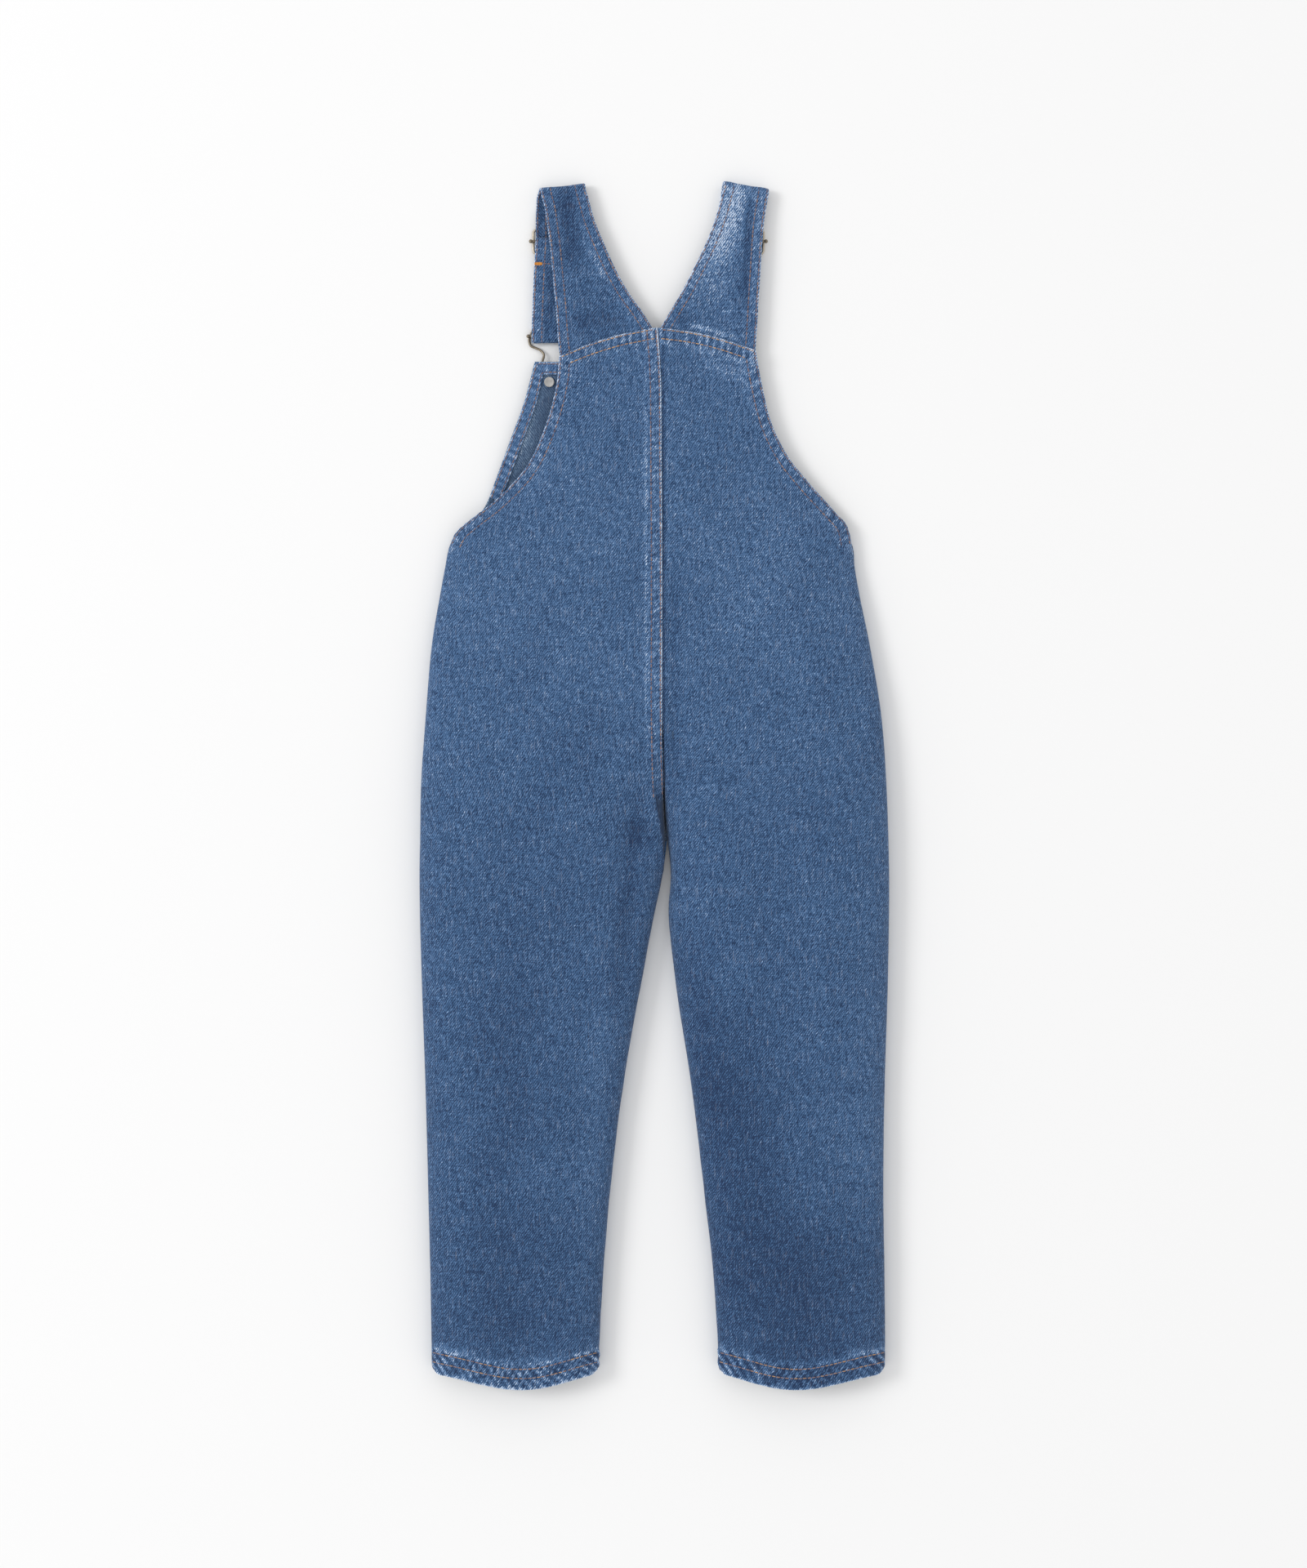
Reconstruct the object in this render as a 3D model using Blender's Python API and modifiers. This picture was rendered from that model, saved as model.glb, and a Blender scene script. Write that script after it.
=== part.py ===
"""Child's denim dungarees, lying face down and flat: a solid for each cut piece and each metal piece.

Metres, +Z up. The surface they lie on is z = 0, the legs point to -Y and the shoulder straps to +Y, so the
back of the garment looks up. Every number in the tables is in millimetres.
"""

import math

import bmesh
import bpy
import numpy as np

MM = 0.001

# Driving sizes
CLOTH = 1.2  # thickness of one wall of denim
SEAM_GAP = 0.3  # clear space between two pieces that are sewn or riveted together
CROTCH_Y = -38.0
UNDERARM_Y = 163.0  # lowest point of both armholes, where the side seams end
LAP_RISE = 0.8  # how far a felled seam stands above the piece that it laps
LAP_WIDTH = 6.5
LAP_RAMP = 3.5
HEM_BOW = 9.4  # the back of each hem hangs this much lower at its middle
BACK_LENGTH = 705.0  # from a hem to the yoke seam
YOKE_BOW = 2.8  # how far the seam below the straps arches above a straight line
FACING_WIDTH = 8.4  # turned edge that shows inside the bib
FACING_THICK = 1.0
FACING_START_Y = 192.0

# Metal
WIRE_R = 0.8
FRAME_R = 0.9
BAR_R = 0.8
BALL_R = 1.3
SLIDER_HALF_WIDTH = 16.2
SLIDER_HALF_HEIGHT = 8.45
SLIDER_CORNER = 3.0
SLIDER_Y = 367.0
SLIDER_FRAME_Z = 2.0
SLIDER_BAR_Z = 4.0
SLIDER_BALL_X = 17.9
CLIP_BAR_Y = 303.0
CLIP_LOOP_REACH = 4.0  # the strap's loop hangs this far below the middle of the clip's bar
CLIP_BAR_Z = 3.3
CLIP_BAR_R = 0.9
CLIP_BALL_X = 16.5
BUTTON_R = 8.0
BUTTON_CAP_Z = 2.4
SHANK_R = 2.2
RIVET_R = 3.5
RIVET_THICK = 1.1
CENTRE_SHIFT = -0.97  # brings the middle of the whole garment to y = 0
BIB_LIFT = 4.7  # the bib's face lies this high above the surface, on its buttons

# Rows of the back panels from the hem up to the yoke: the outer edge, then the inner one.
BACK_LEFT = (
    # side_x, side_y, centre_x, centre_y
    (-149.8, -396, -37.6, -396),
    (-150.0, -380, -37.2, -380),
    (-150.8, -330, -34.5, -330),
    (-152.3, -270, -29.5, -270),
    (-154.2, -200, -20.6, -200),
    (-156.6, -130, -8.4, -130),
    (-157.8, -85, 0.4, -85),
    (-158.0, -58, 6.0, -58),
    (-157.6, CROTCH_Y, 8.6, CROTCH_Y),
    (-157.0, 0, 6.3, 0),
    (-154.0, 45, 5.3, 45),
    (-149.8, 95, 5.3, 97),
    (-144.6, 127, 5.3, 140),
    (-141.2, 146, 5.3, 162),
    (-137.3, UNDERARM_Y, 5.2, 182),
    (-134.2, 169, 5.15, 192),
    (-126.5, 176.5, 5.0, 212),
    (-104.0, 194.5, 4.9, 235),
    (-84.5, 217, 4.8, 256),
    (-73.0, 243, 4.5, 274),
    (-66.2, 268, 3.6, 290),
    (-64.0, 288.6, 2.0, 307.8),
)
BACK_RIGHT = (
    # side_x, side_y, centre_x, centre_y
    (155.2, -396, 43.2, -396),
    (155.4, -380, 42.9, -380),
    (155.0, -330, 39.8, -330),
    (154.2, -270, 33.2, -270),
    (155.2, -200, 24.6, -200),
    (157.3, -130, 14.0, -130),
    (158.0, -85, 9.8, -85),
    (158.0, -58, 11.0, -58),
    (157.6, CROTCH_Y, 8.9, CROTCH_Y),
    (156.2, 0, 6.6, 0),
    (153.0, 45, 5.6, 45),
    (145.0, 95, 5.6, 97),
    (138.5, 127, 5.6, 140),
    (135.2, 146, 5.6, 162),
    (132.9, UNDERARM_Y, 5.5, 182),
    (130.6, 173, 5.45, 192),
    (121.5, 184.5, 5.3, 212),
    (103.0, 205, 5.2, 235),
    (88.0, 224.5, 5.1, 256),
    (78.0, 246.5, 4.8, 274),
    (72.0, 272, 3.9, 290),
    (68.4, 292.5, 2.3, 307.8),
)
# Rows of the front panels. Below the crotch they share the back's edges; above the armhole they are the bib.
LEG_ROWS = 9
FRONT_LEFT = BACK_LEFT[:LEG_ROWS] + (
    # side_x, side_y, centre_x, centre_y
    (-157.0, 0, 5.2, 0),
    (-154.0, 45, 3.4, 45),
    (-149.8, 95, 1.2, 97),
    (-144.6, 127, -0.8, 140),
    (-141.2, 146, -1.7, 160),
    (-137.3, UNDERARM_Y, -2.9, 180),
    (-127.0, 174, -4.2, 200),
    (-114.5, 188, -5.2, 218),
    (-106.2, 208.5, -6.2, 236),
    (-96.4, 235, -7.0, 254),
    (-87.8, 258.5, -7.6, 270),
    (-80.7, 285.5, -8.0, 285.5),
)
FRONT_RIGHT = BACK_RIGHT[:LEG_ROWS] + (
    # side_x, side_y, centre_x, centre_y
    (156.2, 0, 5.5, 0),
    (153.0, 45, 3.7, 45),
    (145.0, 95, 1.5, 97),
    (138.5, 127, -0.5, 140),
    (135.2, 146, -1.4, 160),
    (132.9, UNDERARM_Y, -2.6, 180),
    (119.5, 177, -3.9, 200),
    (101.5, 196, -4.9, 218),
    (90.5, 211.5, -5.9, 236),
    (79.2, 233.5, -6.7, 254),
    (69.2, 257.5, -7.3, 270),
    (62.3, 285.5, -7.7, 285.5),
)

# Heights above the surface, by y: each leg's top, the middle of the body, and the seams at the sides.
LEG_TOP = ((-403, 20.5), (-380, 22), (-330, 23.5), (-200, 25), (-100, 27), (CROTCH_Y, 27.5), (60, 27.5))
BODY_TOP = (
    # y, height
    (-60, 26),
    (0, 28),
    (50, 27.5),
    (100, 24.5),
    (140, 20.5),
    (165, 17.8),
    (190, 15.2),
    (220, 12.8),
    (250, 11.2),
    (280, 10.2),
    (312, 9.6),
)
SIDE_SEAM = ((-400, 8.5), (-200, 9), (-60, 9.5), (0, 9.5), (60, 8.5), (120, 6.8), (UNDERARM_Y, 5.2))
ARMHOLE_EDGE = ((UNDERARM_Y, 5.35), (171, 7.2), (182, 8.3), (200, 8.9), (230, 9.2), (260, 9.4), (295, 9.4))
INSEAM = ((-400, 8.5), (-200, 9), (-60, 8.6), (CROTCH_Y, 8.0))

# Soft creases in the back: both ends, how deep the trough is, and how wide.
CREASES = (
    # x0, y0, x1, y1, depth, width
    (-14, 5, -19, -165, 1.6, 9),
    (16, 70, 17, -20, 1.3, 8),
    (-40, -20, -62, -150, 0.9, 16),
    (112, -190, 136, -300, 1.1, 14),
    (-120, 120, -138, 20, 0.9, 14),
    (118, 110, 136, 10, 0.9, 14),
    (-96, -250, -88, -370, 1.0, 15),
    (70, -40, 84, -170, 0.8, 16),
)

# Straps. The first rows lie on the back, from the yoke to the shoulder; the others run down the front.
STRAP_BACK_LEFT = (
    # outer_x, outer_y, inner_x, inner_y
    (-63.7, 289.0, -1.6, 308.3),
    (-64.9, 300, -7.0, 317),
    (-66.2, 320, -17.5, 332),
    (-68.2, 340, -26.6, 348.5),
    (-70.0, 360, -34.6, 366.5),
    (-72.3, 378, -40.6, 381.5),
    (-74.4, 391, -44.2, 395),
    (-76.6, 399.8, -46.4, 402.8),
)
STRAP_FRONT_LEFT = (
    # outer_x, outer_y, inner_x, inner_y
    (-79.2, 397.8, -48.4, 401.4),
    (-80.0, 384, -50.0, 386),
    (-80.1, SLIDER_Y, -50.9, SLIDER_Y),
    (-81.0, 350, -52.0, 350),
    (-82.3, 320, -53.6, 320),
    (-82.8, CLIP_BAR_Y, -54.3, CLIP_BAR_Y),
)
STRAP_BACK_RIGHT = (
    # outer_x, outer_y, inner_x, inner_y
    (68.2, 292.9, 4.3, 308.3),
    (69.3, 309.7, 11.0, 319.5),
    (70.3, 327, 19.5, 334),
    (71.4, 344.5, 27.0, 349),
    (72.5, 362, 34.3, 364),
    (73.9, 379, 40.6, 380),
    (75.8, 391, 44.9, 396),
    (77.2, 399.6, 46.9, 404.6),
)
STRAP_FRONT_RIGHT = (
    # outer_x, outer_y, inner_x, inner_y
    (76.0, 397.0, 45.4, 402.4),
    (74.4, 384, 44.0, 386.5),
    (72.1, SLIDER_Y, 42.9, SLIDER_Y),
    (69.9, 345, 40.9, 345),
    (66.6, 318, 38.0, 318),
    (64.7, CLIP_BAR_Y, 36.2, CLIP_BAR_Y),
)
# Height of the middle of the strap's wall, by y, on its three runs.
STRAP_BACK_Z = ((288, 8.8), (310, 8.9), (340, 8.5), (370, 8.1), (391, 7.3), (401, 6.9))
STRAP_DOWN_Z = (
    # y, height
    (CLIP_BAR_Y, 1.5),
    (330, 1.0),
    (343, 1.3),
    (350, 3.0),
    (SLIDER_Y - SLIDER_HALF_HEIGHT, 3.9),
    (363, 2.3),
    (SLIDER_Y, 0.8),
    (371, 2.3),
    (SLIDER_Y + SLIDER_HALF_HEIGHT, 3.9),
    (384, 3.0),
    (390, 1.5),
    (400, 1.1),
)
# Where the strap's rows lie on its way down through the slider.
DOWN_STOPS = (391, 387, 383, 379, 375.5, 372.5, 370, 367, 364, 361.5, 358.5, 355, 351, 347, 343, 336, 325, 314, 303)
STRAP_RETURN_Z = ((CLIP_BAR_Y, 5.1), (330, 5.0), (350, 5.4), (358, 5.7), (SLIDER_Y, 5.7))

# Half of each clip's wire, from its tip past the bar down to the slot. Its middle runs from the middle of the
# strap, where to_button is 0, to the button, where it is 1.
CLIP_WIRE = (
    # half_width, y, z, to_button
    (16.0, 309.5, 0.85, 0),
    (16.0, 299.9, 0.85, 0),
    (14.9, 296.9, 0.9, 0),
    (11.9, 295.4, 1.1, 0),
    (7.7, 293.2, 1.7, 0),
    (6.0, 290.4, 2.4, 0),
    (6.5, 286.3, 3.2, 0.2),
    (5.3, 280.0, 3.6, 0.6),
    (4.4, 272.0, 3.6, 1),
)
SLOT_R = 4.4

BUTTONS = {"left": (-70.8, 271.6), "right": (52.4, 271.6)}

COLOURS = {
    # name: red, green, blue, roughness, metallic
    "denim": (0.075, 0.135, 0.245, 0.9, 0.0),
    "denim_inside": (0.10, 0.165, 0.26, 0.9, 0.0),
    "nickel": (0.42, 0.40, 0.36, 0.35, 1.0),
    "zinc": (0.55, 0.53, 0.50, 0.5, 1.0),
}


def clear_scene():
    for thing in list(bpy.data.objects):
        bpy.data.objects.remove(thing, do_unlink=True)


def material(name):
    if name in bpy.data.materials:
        return bpy.data.materials[name]
    red, green, blue, roughness, metallic = COLOURS[name]
    made = bpy.data.materials.new(name)
    made.use_nodes = True
    shader = made.node_tree.nodes["Principled BSDF"]
    shader.inputs["Base Color"].default_value = (red, green, blue, 1)
    shader.inputs["Roughness"].default_value = roughness
    shader.inputs["Metallic"].default_value = metallic
    return made


def add_object(name, data, finish, collection):
    made = bpy.data.objects.new(name, data)
    data.materials.append(material(finish))
    collection.objects.link(made)
    made.parent = collection.objects["garment"]
    return made


def smoothstep(low, high, value):
    t = np.clip((value - low) / (high - low), 0, 1)
    return t * t * (3 - 2 * t)


def spline(knots, values, at, corner=None):
    """A smooth cubic through values at the rising knots, read at each number of at. It may turn at a corner."""
    knots = np.asarray(knots, float)
    values = np.asarray(values, float)
    slopes = np.gradient(values, knots, axis=0)
    leaving, arriving = slopes[:-1].copy(), slopes[1:].copy()
    if corner is not None:
        leaving[corner] = (values[corner + 1] - values[corner]) / (knots[corner + 1] - knots[corner])
        arriving[corner - 1] = (values[corner] - values[corner - 1]) / (knots[corner] - knots[corner - 1])
    at = np.clip(at, knots[0], knots[-1])
    i = np.clip(np.searchsorted(knots, at, side="right") - 1, 0, len(knots) - 2)
    span = knots[i + 1] - knots[i]
    t = (at - knots[i]) / span
    if values.ndim == 2:
        t, span = t[..., None], span[..., None]
    low, high = values[i], values[i + 1]
    rise_low, rise_high = leaving[i] * span, arriving[i] * span
    return (
        low * (1 + 2 * t) * (1 - t) ** 2
        + rise_low * t * (1 - t) ** 2
        + high * t**2 * (3 - 2 * t)
        + rise_high * t**2 * (t - 1)
    )


def height(table, y):
    """A height read from a table of y and height."""
    rows = np.array(table, float)
    return spline(rows[:, 0], rows[:, 1], y)


def row_knots(table):
    """How far each row of a panel or strap lies along its inner edge."""
    steps = np.diff(np.array(table, float), axis=0)
    return np.concatenate([[0], np.cumsum(np.hypot(steps[:, 2], steps[:, 3]))])


def row_at(table, along):
    """Outer x, outer y, inner x and inner y at each along, from 0 at the first row to 1 at the last.

    A panel's edge has a corner at the crotch.
    """
    knots = row_knots(table)
    corner = LEG_ROWS - 1 if len(table) > 2 * LEG_ROWS else None
    return spline(knots / knots[-1], table, along, corner)


def crease_depth(x, y):
    total = np.zeros_like(x)
    for x0, y0, x1, y1, depth, width in CREASES:
        length = math.hypot(x1 - x0, y1 - y0)
        along = ((x - x0) * (x1 - x0) + (y - y0) * (y1 - y0)) / length**2
        across = ((x - x0) * (y1 - y0) - (y - y0) * (x1 - x0)) / length
        fade = smoothstep(-0.15, 0.3, along) * (1 - smoothstep(0.7, 1.15, along))
        total += depth * fade * np.exp(-((across / width) ** 2))
    return total


def back_point(table, share, along, lapped):
    """A point on the back's outer face: share runs from the side edge, 0, to the centre edge, 1."""
    row = row_at(table, along)
    x = row[..., 0] + (row[..., 2] - row[..., 0]) * share
    y = row[..., 1] + (row[..., 3] - row[..., 1]) * share
    side_y = row[..., 1]
    width = np.abs(row[..., 2] - row[..., 0])
    bow = np.sin(math.pi * share)
    hem_drop = HEM_BOW * np.clip(np.sin(math.pi * share**1.12), 0, 1) ** 1.5 * (1 - smoothstep(0, 0.05, along))
    y = y - hem_drop + YOKE_BOW * bow * smoothstep(0.93, 1, along)

    above_crotch = smoothstep(CROTCH_Y, 48, y)
    open_edge = smoothstep(UNDERARM_Y, UNDERARM_Y + 30, side_y)
    side_z = np.where(side_y <= UNDERARM_Y, height(SIDE_SEAM, side_y) + SEAM_GAP / 2, height(ARMHOLE_EDGE, side_y))
    inner_z = height(INSEAM, y) + SEAM_GAP / 2
    leg_top, body_top = height(LEG_TOP, y), height(BODY_TOP, y)

    across = 2 * share - 1
    leg_round = np.sqrt(np.clip(1 - np.abs(across) ** 3, 0, 1))
    leg_end = np.where(across < 0, side_z, inner_z)
    leg = leg_end + (leg_top - leg_end) * leg_round
    from_middle = 1 - share
    body_round = np.clip(1 - from_middle ** (4 - 2 * open_edge), 0, 1) ** (0.5 + 0.5 * open_edge)
    body = side_z + (body_top - side_z) * body_round
    z = leg + (body - leg) * above_crotch

    inner_fade = 1 - (1 - smoothstep(0, 14, (1 - share) * width)) * (1 - above_crotch)
    z = z - crease_depth(x, y) * smoothstep(0, 14, share * width) * inner_fade
    from_centre = (1 - share) * width
    from_yoke = (1 - along) * BACK_LENGTH
    if lapped:
        lap = 1 - smoothstep(LAP_WIDTH, LAP_WIDTH + LAP_RAMP, from_centre)
        z = z + LAP_RISE * lap * smoothstep(-30, 20, y)
    z = z + LAP_RISE * (1 - smoothstep(LAP_WIDTH, LAP_WIDTH + LAP_RAMP, from_yoke))
    return np.stack([x, y, z], axis=-1)


def bib_lift(y):
    return BIB_LIFT * smoothstep(110, 265, y)


def front_point(table, share, along):
    """A point on the front's outer face, which lies on the surface and rolls up at the seams."""
    row = row_at(table, along)
    x = row[..., 0] + (row[..., 2] - row[..., 0]) * share
    y = row[..., 1] + (row[..., 3] - row[..., 1]) * share
    side_y = row[..., 1]
    width = np.abs(row[..., 2] - row[..., 0])
    lift = bib_lift(y)
    side_z = (height(SIDE_SEAM, side_y) - SEAM_GAP / 2 - lift) * (1 - smoothstep(UNDERARM_Y, UNDERARM_Y + 26, side_y))
    inner_z = (height(INSEAM, y) - SEAM_GAP / 2) * (1 - smoothstep(CROTCH_Y, 0, y))
    rolls = np.zeros_like(x)
    for distance, rise in ((share * width, side_z), ((1 - share) * width, inner_z)):
        radius = 1.25 * rise + 0.01
        reach = np.clip(1 - distance / radius, 0, 1)
        rolls += rise * (1 - np.sqrt(1 - reach**2))
    return np.stack([x, y, lift + rolls], axis=-1)


def outward(point, share, along, up):
    """Unit normals of a face that point(share, along) gives, towards +Z where up is 1 and -Z where it is -1."""
    step = 1e-5
    low, high = np.clip(share - step, 0, 1), np.clip(share + step, 0, 1)
    back, ahead = np.clip(along - step, 0, 1), np.clip(along + step, 0, 1)
    across = point(high, along) - point(low, along)
    lengthwise = point(share, ahead) - point(share, back)
    normal = np.cross(across, lengthwise)
    normal /= np.linalg.norm(normal, axis=-1, keepdims=True)
    facing = np.sign(np.sum(normal[..., 2])) * up
    return normal * facing


def wall(name, outer, inner, finish, collection):
    """A closed wall between two grids of points of the same shape, in millimetres."""
    rows, columns = outer.shape[:2]
    count = rows * columns
    points = np.concatenate([outer.reshape(-1, 3), inner.reshape(-1, 3)]) * MM

    def corner(row, column, layer):
        return layer * count + row * columns + column

    faces = []
    for row in range(rows - 1):
        for column in range(columns - 1):
            for layer in (0, 1):
                quad = [
                    corner(row, column, layer),
                    corner(row, column + 1, layer),
                    corner(row + 1, column + 1, layer),
                    corner(row + 1, column, layer),
                ]
                faces.append(quad[::-1] if layer else quad)
    for row in range(rows - 1):
        for column in (0, columns - 1):
            near, far = corner(row, column, 0), corner(row + 1, column, 0)
            quad = [near, far, far + count, near + count]
            faces.append(quad if column == 0 else quad[::-1])
    for column in range(columns - 1):
        for row in (0, rows - 1):
            near, far = corner(row, column, 0), corner(row, column + 1, 0)
            quad = [near, near + count, far + count, far]
            faces.append(quad if row == 0 else quad[::-1])
    mesh = bpy.data.meshes.new(name)
    mesh.from_pydata([tuple(p) for p in points], [], faces)
    shape = bmesh.new()
    shape.from_mesh(mesh)
    bmesh.ops.recalc_face_normals(shape, faces=shape.faces)
    shape.to_mesh(mesh)
    shape.free()
    mesh.shade_smooth()
    mesh.set_sharp_from_angle(angle=math.radians(40))
    return add_object(name, mesh, finish, collection)


def shares_across(table, along, near_edges, between):
    """Shares of a panel's width for its columns: set distances from both edges, and an even run between."""
    row = row_at(table, along)
    width = np.abs(row[:, 2] - row[:, 0])[:, None]
    near = np.array(near_edges, float)[None, :]
    far = near[:, -1:] / width
    middle = far + (1 - 2 * far) * np.linspace(0, 1, between + 2)[None, 1:-1]
    return np.concatenate([near / width, middle, 1 - near[:, ::-1] / width], axis=1)


def panel_rows(table):
    """A mesh row at each row of the table, and halfway between those that are far apart."""
    knots = row_knots(table)
    spans = np.diff(knots)
    longest = np.where(knots[:-1] > knots[LEG_ROWS + 5], 12, 30)
    halves = (knots[:-1] + knots[1:])[spans > longest] / 2
    return np.sort(np.concatenate([knots, halves])) / knots[-1]


def stretches(table, along):
    """A panel's rows below the crotch and those above it, parted there by a seam's gap."""
    knots = row_knots(table)
    below = (knots[LEG_ROWS - 1] - SEAM_GAP / 2) / knots[-1]
    above = (knots[LEG_ROWS - 1] + SEAM_GAP / 2) / knots[-1]
    least = 1 / knots[-1]
    leg = np.concatenate([along[along < below - least], [below]])
    body = np.concatenate([[above], along[along > above + least]])
    return leg, body


def add_back(side, table, lapped, collection):
    """Half of the back, as its leg and its body."""
    lap_rows = [1 - LAP_WIDTH / BACK_LENGTH, 1 - (LAP_WIDTH + LAP_RAMP) / BACK_LENGTH]
    along = panel_rows(table)
    along = np.sort(np.concatenate([along[np.abs(along[:, None] - lap_rows).min(axis=1) > 0.004], lap_rows]))

    def point(share, along):
        return back_point(table, share, along, lapped)

    for stretch, rows in zip(("leg", "body"), stretches(table, along)):
        share = shares_across(table, rows, (0, 0.8, 3, LAP_WIDTH, LAP_WIDTH + LAP_RAMP), 5)
        rows = np.broadcast_to(rows[:, None], share.shape)
        outer = point(share, rows)
        inner = outer - CLOTH * outward(point, share, rows, 1)
        wall(f"back_{side}_{stretch}", outer, inner, "denim", collection)


def add_front(side, table, collection):
    """Half of the front, as its leg and its bib."""

    def point(share, along):
        return front_point(table, share, along)

    for stretch, rows in zip(("leg", "bib"), stretches(table, panel_rows(table))):
        share = shares_across(table, rows, (0, 0.8, 3, 6, 11), 2)
        rows = np.broadcast_to(rows[:, None], share.shape)
        outer = point(share, rows)
        inner = outer - CLOTH * outward(point, share, rows, -1)
        wall(f"front_{side}_{stretch}", outer, inner, "denim", collection)


def bib_edge():
    """The bib's edge from the left armhole, round the top, to the right armhole, and the way in from it."""
    left = row_at(FRONT_LEFT, np.linspace(0, 1, 400))[:, :2]
    right = row_at(FRONT_RIGHT, np.linspace(0, 1, 400))[:, :2]
    left = left[left[:, 1] > FACING_START_Y][::7]
    right = right[right[:, 1] > FACING_START_Y][::7]
    top_left, top_right = np.array(FRONT_LEFT[-1][:2]), np.array(FRONT_RIGHT[-1][:2])
    return left, right, top_left, top_right


def add_facing(collection):
    """The turned edge that shows inside the bib: up the left armhole, along the top and down the right one."""
    left, right, top_left, top_right = bib_edge()

    def inset(path, towards):
        along = np.gradient(path, axis=0)
        across = np.stack([-along[:, 1], along[:, 0]], axis=1)
        across /= np.linalg.norm(across, axis=1, keepdims=True)
        return path + across * towards * FACING_WIDTH

    margin = 0.5
    left_out = left[:-1]
    right_out = right[:-1]
    left_in, right_in = inset(left_out, -1), inset(right_out, 1)
    corner_left = top_left + (margin, -margin)
    corner_right = top_right + (-margin, -margin)
    corner_left_in = corner_left + (5.2, -FACING_WIDTH)
    corner_right_in = corner_right + (-5.5, -FACING_WIDTH)
    keep_left = left_in[:, 1] < corner_left_in[1] - 1
    keep_right = right_in[:, 1] < corner_right_in[1] - 1
    middle = np.linspace(0, 1, 9)[1:-1, None]
    outer_path = np.concatenate(
        [
            left_out[keep_left] + (margin, 0),
            [corner_left],
            corner_left + (corner_right - corner_left) * middle,
            [corner_right],
            (right_out[keep_right] - (margin, 0))[::-1],
        ]
    )
    inner_path = np.concatenate(
        [
            left_in[keep_left],
            [corner_left_in],
            corner_left_in + (corner_right_in - corner_left_in) * middle,
            [corner_right_in],
            right_in[keep_right][::-1],
        ]
    )
    plan = np.stack([outer_path, inner_path], axis=1)
    low = bib_lift(plan[..., 1]) + CLOTH + SEAM_GAP
    under = np.concatenate([plan, low[..., None]], axis=2)
    over = under + (0, 0, FACING_THICK)
    wall("bib_facing", over, under, "denim_inside", collection)


def arc_rows(start, end, centre_z, radius, angles, reach=None):
    """Rows of a strap that turns about a bar: from the plan row start to end, as the angle runs over angles.

    The turn is as deep in y as reach, or round where there is none.
    """
    rows, heights = [], []
    reach = reach or radius
    for k, angle in enumerate(angles):
        t = k / (len(angles) - 1)
        row = np.array(start) * (1 - t) + np.array(end) * t
        row[[1, 3]] += reach * math.cos(angle)
        rows.append(row)
        heights.append(centre_z + radius * math.sin(angle))
    return rows, heights


def strap_rows(back, front):
    """Every row of a strap, from the yoke over the shoulder, down to the clip, and up to the slider."""
    rows, heights = [], []
    for along in np.linspace(0, 1, 15):
        row = row_at(back, np.array(along))
        rows.append(row)
        heights.append(float(height(STRAP_BACK_Z, np.array((row[1] + row[3]) / 2))))
    top, bottom = heights[-1], float(height(STRAP_DOWN_Z, np.array(398.0)))
    radius = (top - bottom) / 2
    shoulder = arc_rows(back[-1], front[0], bottom + radius, radius, np.linspace(math.pi / 2, -math.pi / 2, 7)[1:])
    rows += shoulder[0]
    heights += shoulder[1]

    down = np.array([row_at(front, np.array(t)) for t in np.linspace(0, 1, 200)])
    for y in DOWN_STOPS:
        middle = (down[:, 1] + down[:, 3]) / 2
        row = np.array([np.interp(-y, -middle, column) for column in down.T])
        rows.append(row)
        heights.append(float(height(STRAP_DOWN_Z, np.array(float(y)))))
    clip_radius = CLIP_BAR_R + SEAM_GAP + CLOTH / 2
    turn = np.linspace(-math.pi / 2, -1.5 * math.pi, 9)[1:]
    clip = arc_rows(front[-1], front[-1], CLIP_BAR_Z, clip_radius, turn, CLIP_LOOP_REACH)
    rows += clip[0]
    heights += clip[1]

    for y in (314, 325, 336, 346, 354, 361, SLIDER_Y):
        middle = (down[:, 1] + down[:, 3]) / 2
        rows.append(np.array([np.interp(-y, -middle, column) for column in down.T]))
        heights.append(float(height(STRAP_RETURN_Z, np.array(float(y)))))
    slider_radius = BAR_R + SEAM_GAP + CLOTH / 2
    wrap = arc_rows(rows[-1], rows[-1], SLIDER_BAR_Z, slider_radius, np.linspace(math.pi / 2, -0.4 * math.pi, 8)[1:])
    rows += wrap[0]
    heights += wrap[1]
    return np.array(rows), np.array(heights)


def add_strap(name, back, front, collection):
    rows, heights = strap_rows(back, front)
    share = np.linspace(0, 1, 5)
    outer = rows[:, None, :2]
    inner = rows[:, None, 2:]
    plan = outer + (inner - outer) * share[None, :, None]
    first = smoothstep(0, 1, 1 - np.arange(len(rows)) / 4)[:, None]
    plan[..., 1] += YOKE_BOW * np.sin(math.pi * share)[None, :] * first
    middle = np.concatenate([plan, np.broadcast_to(heights[:, None, None], (*plan.shape[:2], 1))], axis=2)
    along = np.gradient(middle, axis=0)
    across = np.gradient(middle, axis=1)
    normal = np.cross(across, along)
    normal /= np.linalg.norm(normal, axis=2, keepdims=True)
    wall(name, middle + normal * CLOTH / 2, middle - normal * CLOTH / 2, "denim", collection)


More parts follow.
